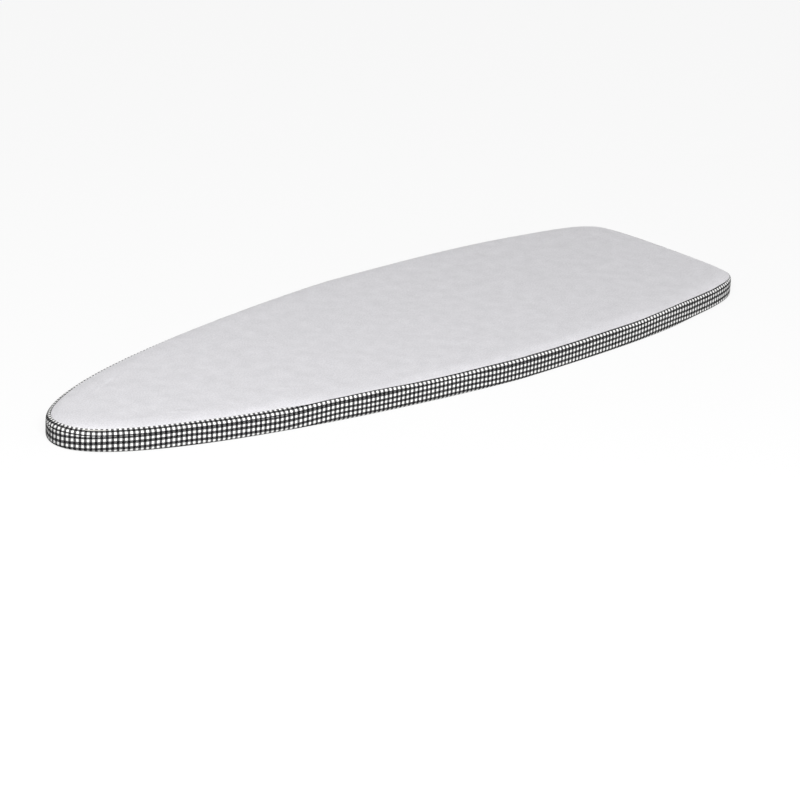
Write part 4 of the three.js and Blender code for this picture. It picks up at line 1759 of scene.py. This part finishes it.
def sewn_row(name: str, rows: Sequence[Sequence[Vector]], radius: float) -> bpy.types.Object:
    """Makes one piece of many stitches.

    Args:
        name: the piece's name.
        rows: the points between which the stitches lie.
        radius: half the thickness of the thread.

    Returns:
        The new piece.
    """
    half_share, flat_share = 0.46, 0.8
    bm = bmesh.new()
    bmesh.ops.create_uvsphere(bm, u_segments=6, v_segments=4, radius=1.0)
    stitch = bpy.data.meshes.new("stitch")
    bm.to_mesh(stitch)
    bm.clear()
    for row in rows:
        for start, end in zip(row, row[1:]):
            turn = (end - start).to_track_quat("X", "Z").to_matrix().to_4x4()
            size = Matrix.Diagonal(((end - start).length * half_share, radius, radius * flat_share, 1.0))
            place = Matrix.Translation((start + end) / 2) @ turn @ size
            stitch.transform(place)
            bm.from_mesh(stitch)
            stitch.transform(place.inverted())
    bpy.data.meshes.remove(stitch)
    return finished(bm, name)


@dataclass(frozen=True)
class Clips:
    """The six lever clips, whose solids stay and get their edges and their finish."""

    edge: float = 0.12 * MM
    edge_steps: int = 2
    sharp: float = math.radians(40.0)

    def dress(self, frame_metal: bpy.types.Material, lever_metal: bpy.types.Material,
              pin_metal: bpy.types.Material, jaw: bpy.types.Material) -> int:
        """Gives each piece of the clips broken edges and its finish.

        Args:
            frame_metal: the finish of the folded frames.
            lever_metal: the finish of the levers.
            pin_metal: the finish of the pins.
            jaw: the finish of the jaw pads.

        Returns:
            How many pieces were dressed.
        """
        finishes = {
            "clip_frame": frame_metal, "clip_lever": lever_metal, "clip_pin": pin_metal, "jaw_pad": jaw}
        dressed = [(node, finish) for name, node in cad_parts.items()
                   for start, finish in finishes.items() if name.startswith(start)]
        for node, finish in dressed:
            for held in node.material_slots:
                held.material = finish
            weld = node.modifiers.new("Weld", "WELD")
            weld.merge_threshold = MERGE
            bevel = node.modifiers.new("Edges", "BEVEL")
            bevel.width = self.edge
            bevel.segments = self.edge_steps
            bevel.limit_method = "ANGLE"
            bevel.angle_limit = self.sharp
        return len(dressed)


# The studio


@dataclass(frozen=True)
class Lamp:
    """A round, soft lamp."""

    name: str
    size: float
    power: float
    place: tuple[float, float, float]
    aim: tuple[float, float, float]

    def hang(self) -> None:
        """Hangs the lamp and points it."""
        lamp = bpy.data.lights.new(self.name, "AREA")
        lamp.shape = "DISK"
        lamp.size = self.size
        lamp.energy = self.power
        hung = bpy.data.objects.new(self.name, lamp)
        hung.location = self.place
        aim = Vector(self.aim) - hung.location
        hung.rotation_euler = aim.to_track_quat("-Z", "Y").to_euler()
        bpy.context.scene.collection.objects.link(hung)


@dataclass(frozen=True)
class Studio:
    """A pale floor, a large soft lamp, a low one beside it, an even surround and the camera."""

    floor_size: float = 14.0
    lamps: tuple[Lamp, ...] = (
        Lamp("key", 1.5, 104.0, (-1.75, -1.9, 1.75), (-0.25, 0.0, 0.0)),
        Lamp("fill", 1.2, 19.0, (1.0, -2.2, 0.2), (0.35, -0.15, 0.0)),
    )
    surround: float = 0.28
    azimuth: float = math.radians(-44.5)
    elevation: float = math.radians(21.55)
    roll: float = math.radians(2.73)
    distance: float = 4.6502
    target: tuple[float, float, float] = (-0.1242, -0.1610, 0.0)
    lens: float = 146.9
    sensor: float = 36.0
    sight: float = 60.0

    def build_floor(self, finish: bpy.types.Material) -> None:
        """Lays the floor, which takes the cover's shadow and lets light through from below.

        Args:
            finish: the floor's material.
        """
        bm = bmesh.new()
        bmesh.ops.create_grid(bm, x_segments=2, y_segments=2, size=self.floor_size / 2)
        floor = finished(bm, "floor")
        floor.data.materials.append(finish)
        floor.visible_diffuse = floor.visible_glossy = floor.visible_shadow = False
        floor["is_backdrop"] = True

    def light(self) -> None:
        """Hangs the lamps and sets the even surround."""
        for lamp in self.lamps:
            lamp.hang()
        world = bpy.data.worlds.new("surround")
        bpy.context.scene.world = world
        world.use_nodes = True
        graph = Graph(world.node_tree)
        rays = graph.node("ShaderNodeLightPath").outputs
        seen = graph.math("MAXIMUM", rays["Is Camera Ray"], rays["Is Glossy Ray"])
        seen = graph.math("MAXIMUM", seen, rays["Is Transmission Ray"])
        grey = (self.surround, self.surround, self.surround, 1.0)
        colour = graph.blend(seen, grey, WHITE)
        graph.feed(world.node_tree.nodes["Background"].inputs["Color"], colour)

    def aim_camera(self) -> None:
        """Sets up the camera, turned from the front by the azimuth and leaned by the roll."""
        a, e = self.azimuth, self.elevation
        back = Vector((math.sin(a) * math.cos(e), -math.cos(a) * math.cos(e), math.sin(e)))
        level = Vector((math.cos(a), math.sin(a), 0.0))
        up = back.cross(level)
        right = math.cos(self.roll) * level + math.sin(self.roll) * up
        top = math.cos(self.roll) * up - math.sin(self.roll) * level
        camera = bpy.data.objects.new("camera", bpy.data.cameras.new("camera"))
        camera.data.lens = self.lens
        camera.data.sensor_width = self.sensor
        camera.data.clip_end = self.sight
        camera.matrix_world = Matrix.Translation(Vector(self.target) + back * self.distance) @ Matrix(
            (right, top, back)).transposed().to_4x4()
        bpy.context.scene.collection.objects.link(camera)
        bpy.context.scene.camera = camera


def main() -> None:
    """Builds the cover, dresses it and sets up its studio."""
    skirt_box, face_box, band_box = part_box("gingham_skirt"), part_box("top_panel"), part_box("edge_binding")
    outline = Outline(skirt_box[1].x - skirt_box[0].x, skirt_box[1].y - skirt_box[0].y)
    crease, seam = band_box[0].z - CREASE_DROP, band_box[1].z - SEAM_DROP
    plan = Plan(outline, crown=face_box[1].z, seam=seam, crease=crease)
    whole = outline.stations(4)[0].whole

    gingham = GinghamFinish().build()
    piece = IroningFace(plan).build()
    attach(piece, MetallisedFinish().build(), "ironing_face", "top_panel")
    outline.area(FACE_INSET)
    log.info("ironing face: %d vertices", len(piece.data.vertices))

    padding = Padding(plan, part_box("foam_layer"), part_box("felt_layer"))
    foam = padding.build_foam()
    attach(foam, FoamFinish().build(), "foam", "foam_layer")
    felt = padding.build_felt()
    attach(felt, FeltFinish().build(), "felt", "felt_layer")
    outline.area(padding.felt_inset)
    log.info("padding: foam %d and felt %d vertices", len(foam.data.vertices), len(felt.data.vertices))

    straps = [Strap(place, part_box(f"elastic_strap_{place.value}")) for place in Place]
    skirt = Skirt(plan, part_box("hem_elastic"), tuple(strap.middle for strap in straps))
    band = skirt.build_band()
    attach(band, gingham, "gingham", "edge_binding")
    wall = skirt.build_skirt()
    attach(wall, gingham, "gingham", "gingham_skirt")
    elastic = skirt.build_elastic()
    attach(elastic, ElasticFinish("Hem elastic").build(), "hem_elastic", "hem_elastic")
    white_thread = ThreadFinish("White thread", (0.85, 0.85, 0.83)).build()
    attach(skirt.build_stitches(), white_thread, "gingham")
    log.info("skirt: band %d and skirt %d vertices", len(band.data.vertices), len(wall.data.vertices))

    webbing = ElasticFinish("Elastic webbing").build()
    for strap in straps:
        ribbon = strap.build()
        attach(ribbon, webbing, "webbing", f"elastic_strap_{strap.place.value}")
        attach(strap.build_stitches(), white_thread, "webbing")
        log.info("strap %s: %d vertices", strap.place.value, len(ribbon.data.vertices))

    metal = PlatedFinish("Plated frame").build()
    lever = PlatedFinish("Plated lever", low_rough=0.16, high_rough=0.36).build()
    pin = PlatedFinish("Bright pin", (0.78, 0.77, 0.75), 0.12, 0.26).build()
    log.info("clips: %d pieces", Clips().dress(metal, lever, pin, MouldedFinish().build()))

    studio = Studio()
    studio.build_floor(FloorFinish().build())
    studio.light()
    studio.aim_camera()
    bpy.context.scene.view_settings.view_transform = "Standard"


if __name__ == "__main__":
    logging.basicConfig(level=logging.INFO, format="%(name)s: %(message)s")
    main()
    boxes = {"cad": cad_bounds, "dressed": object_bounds()}
    {name: [list(corner) for corner in box] for name, box in boxes.items()}
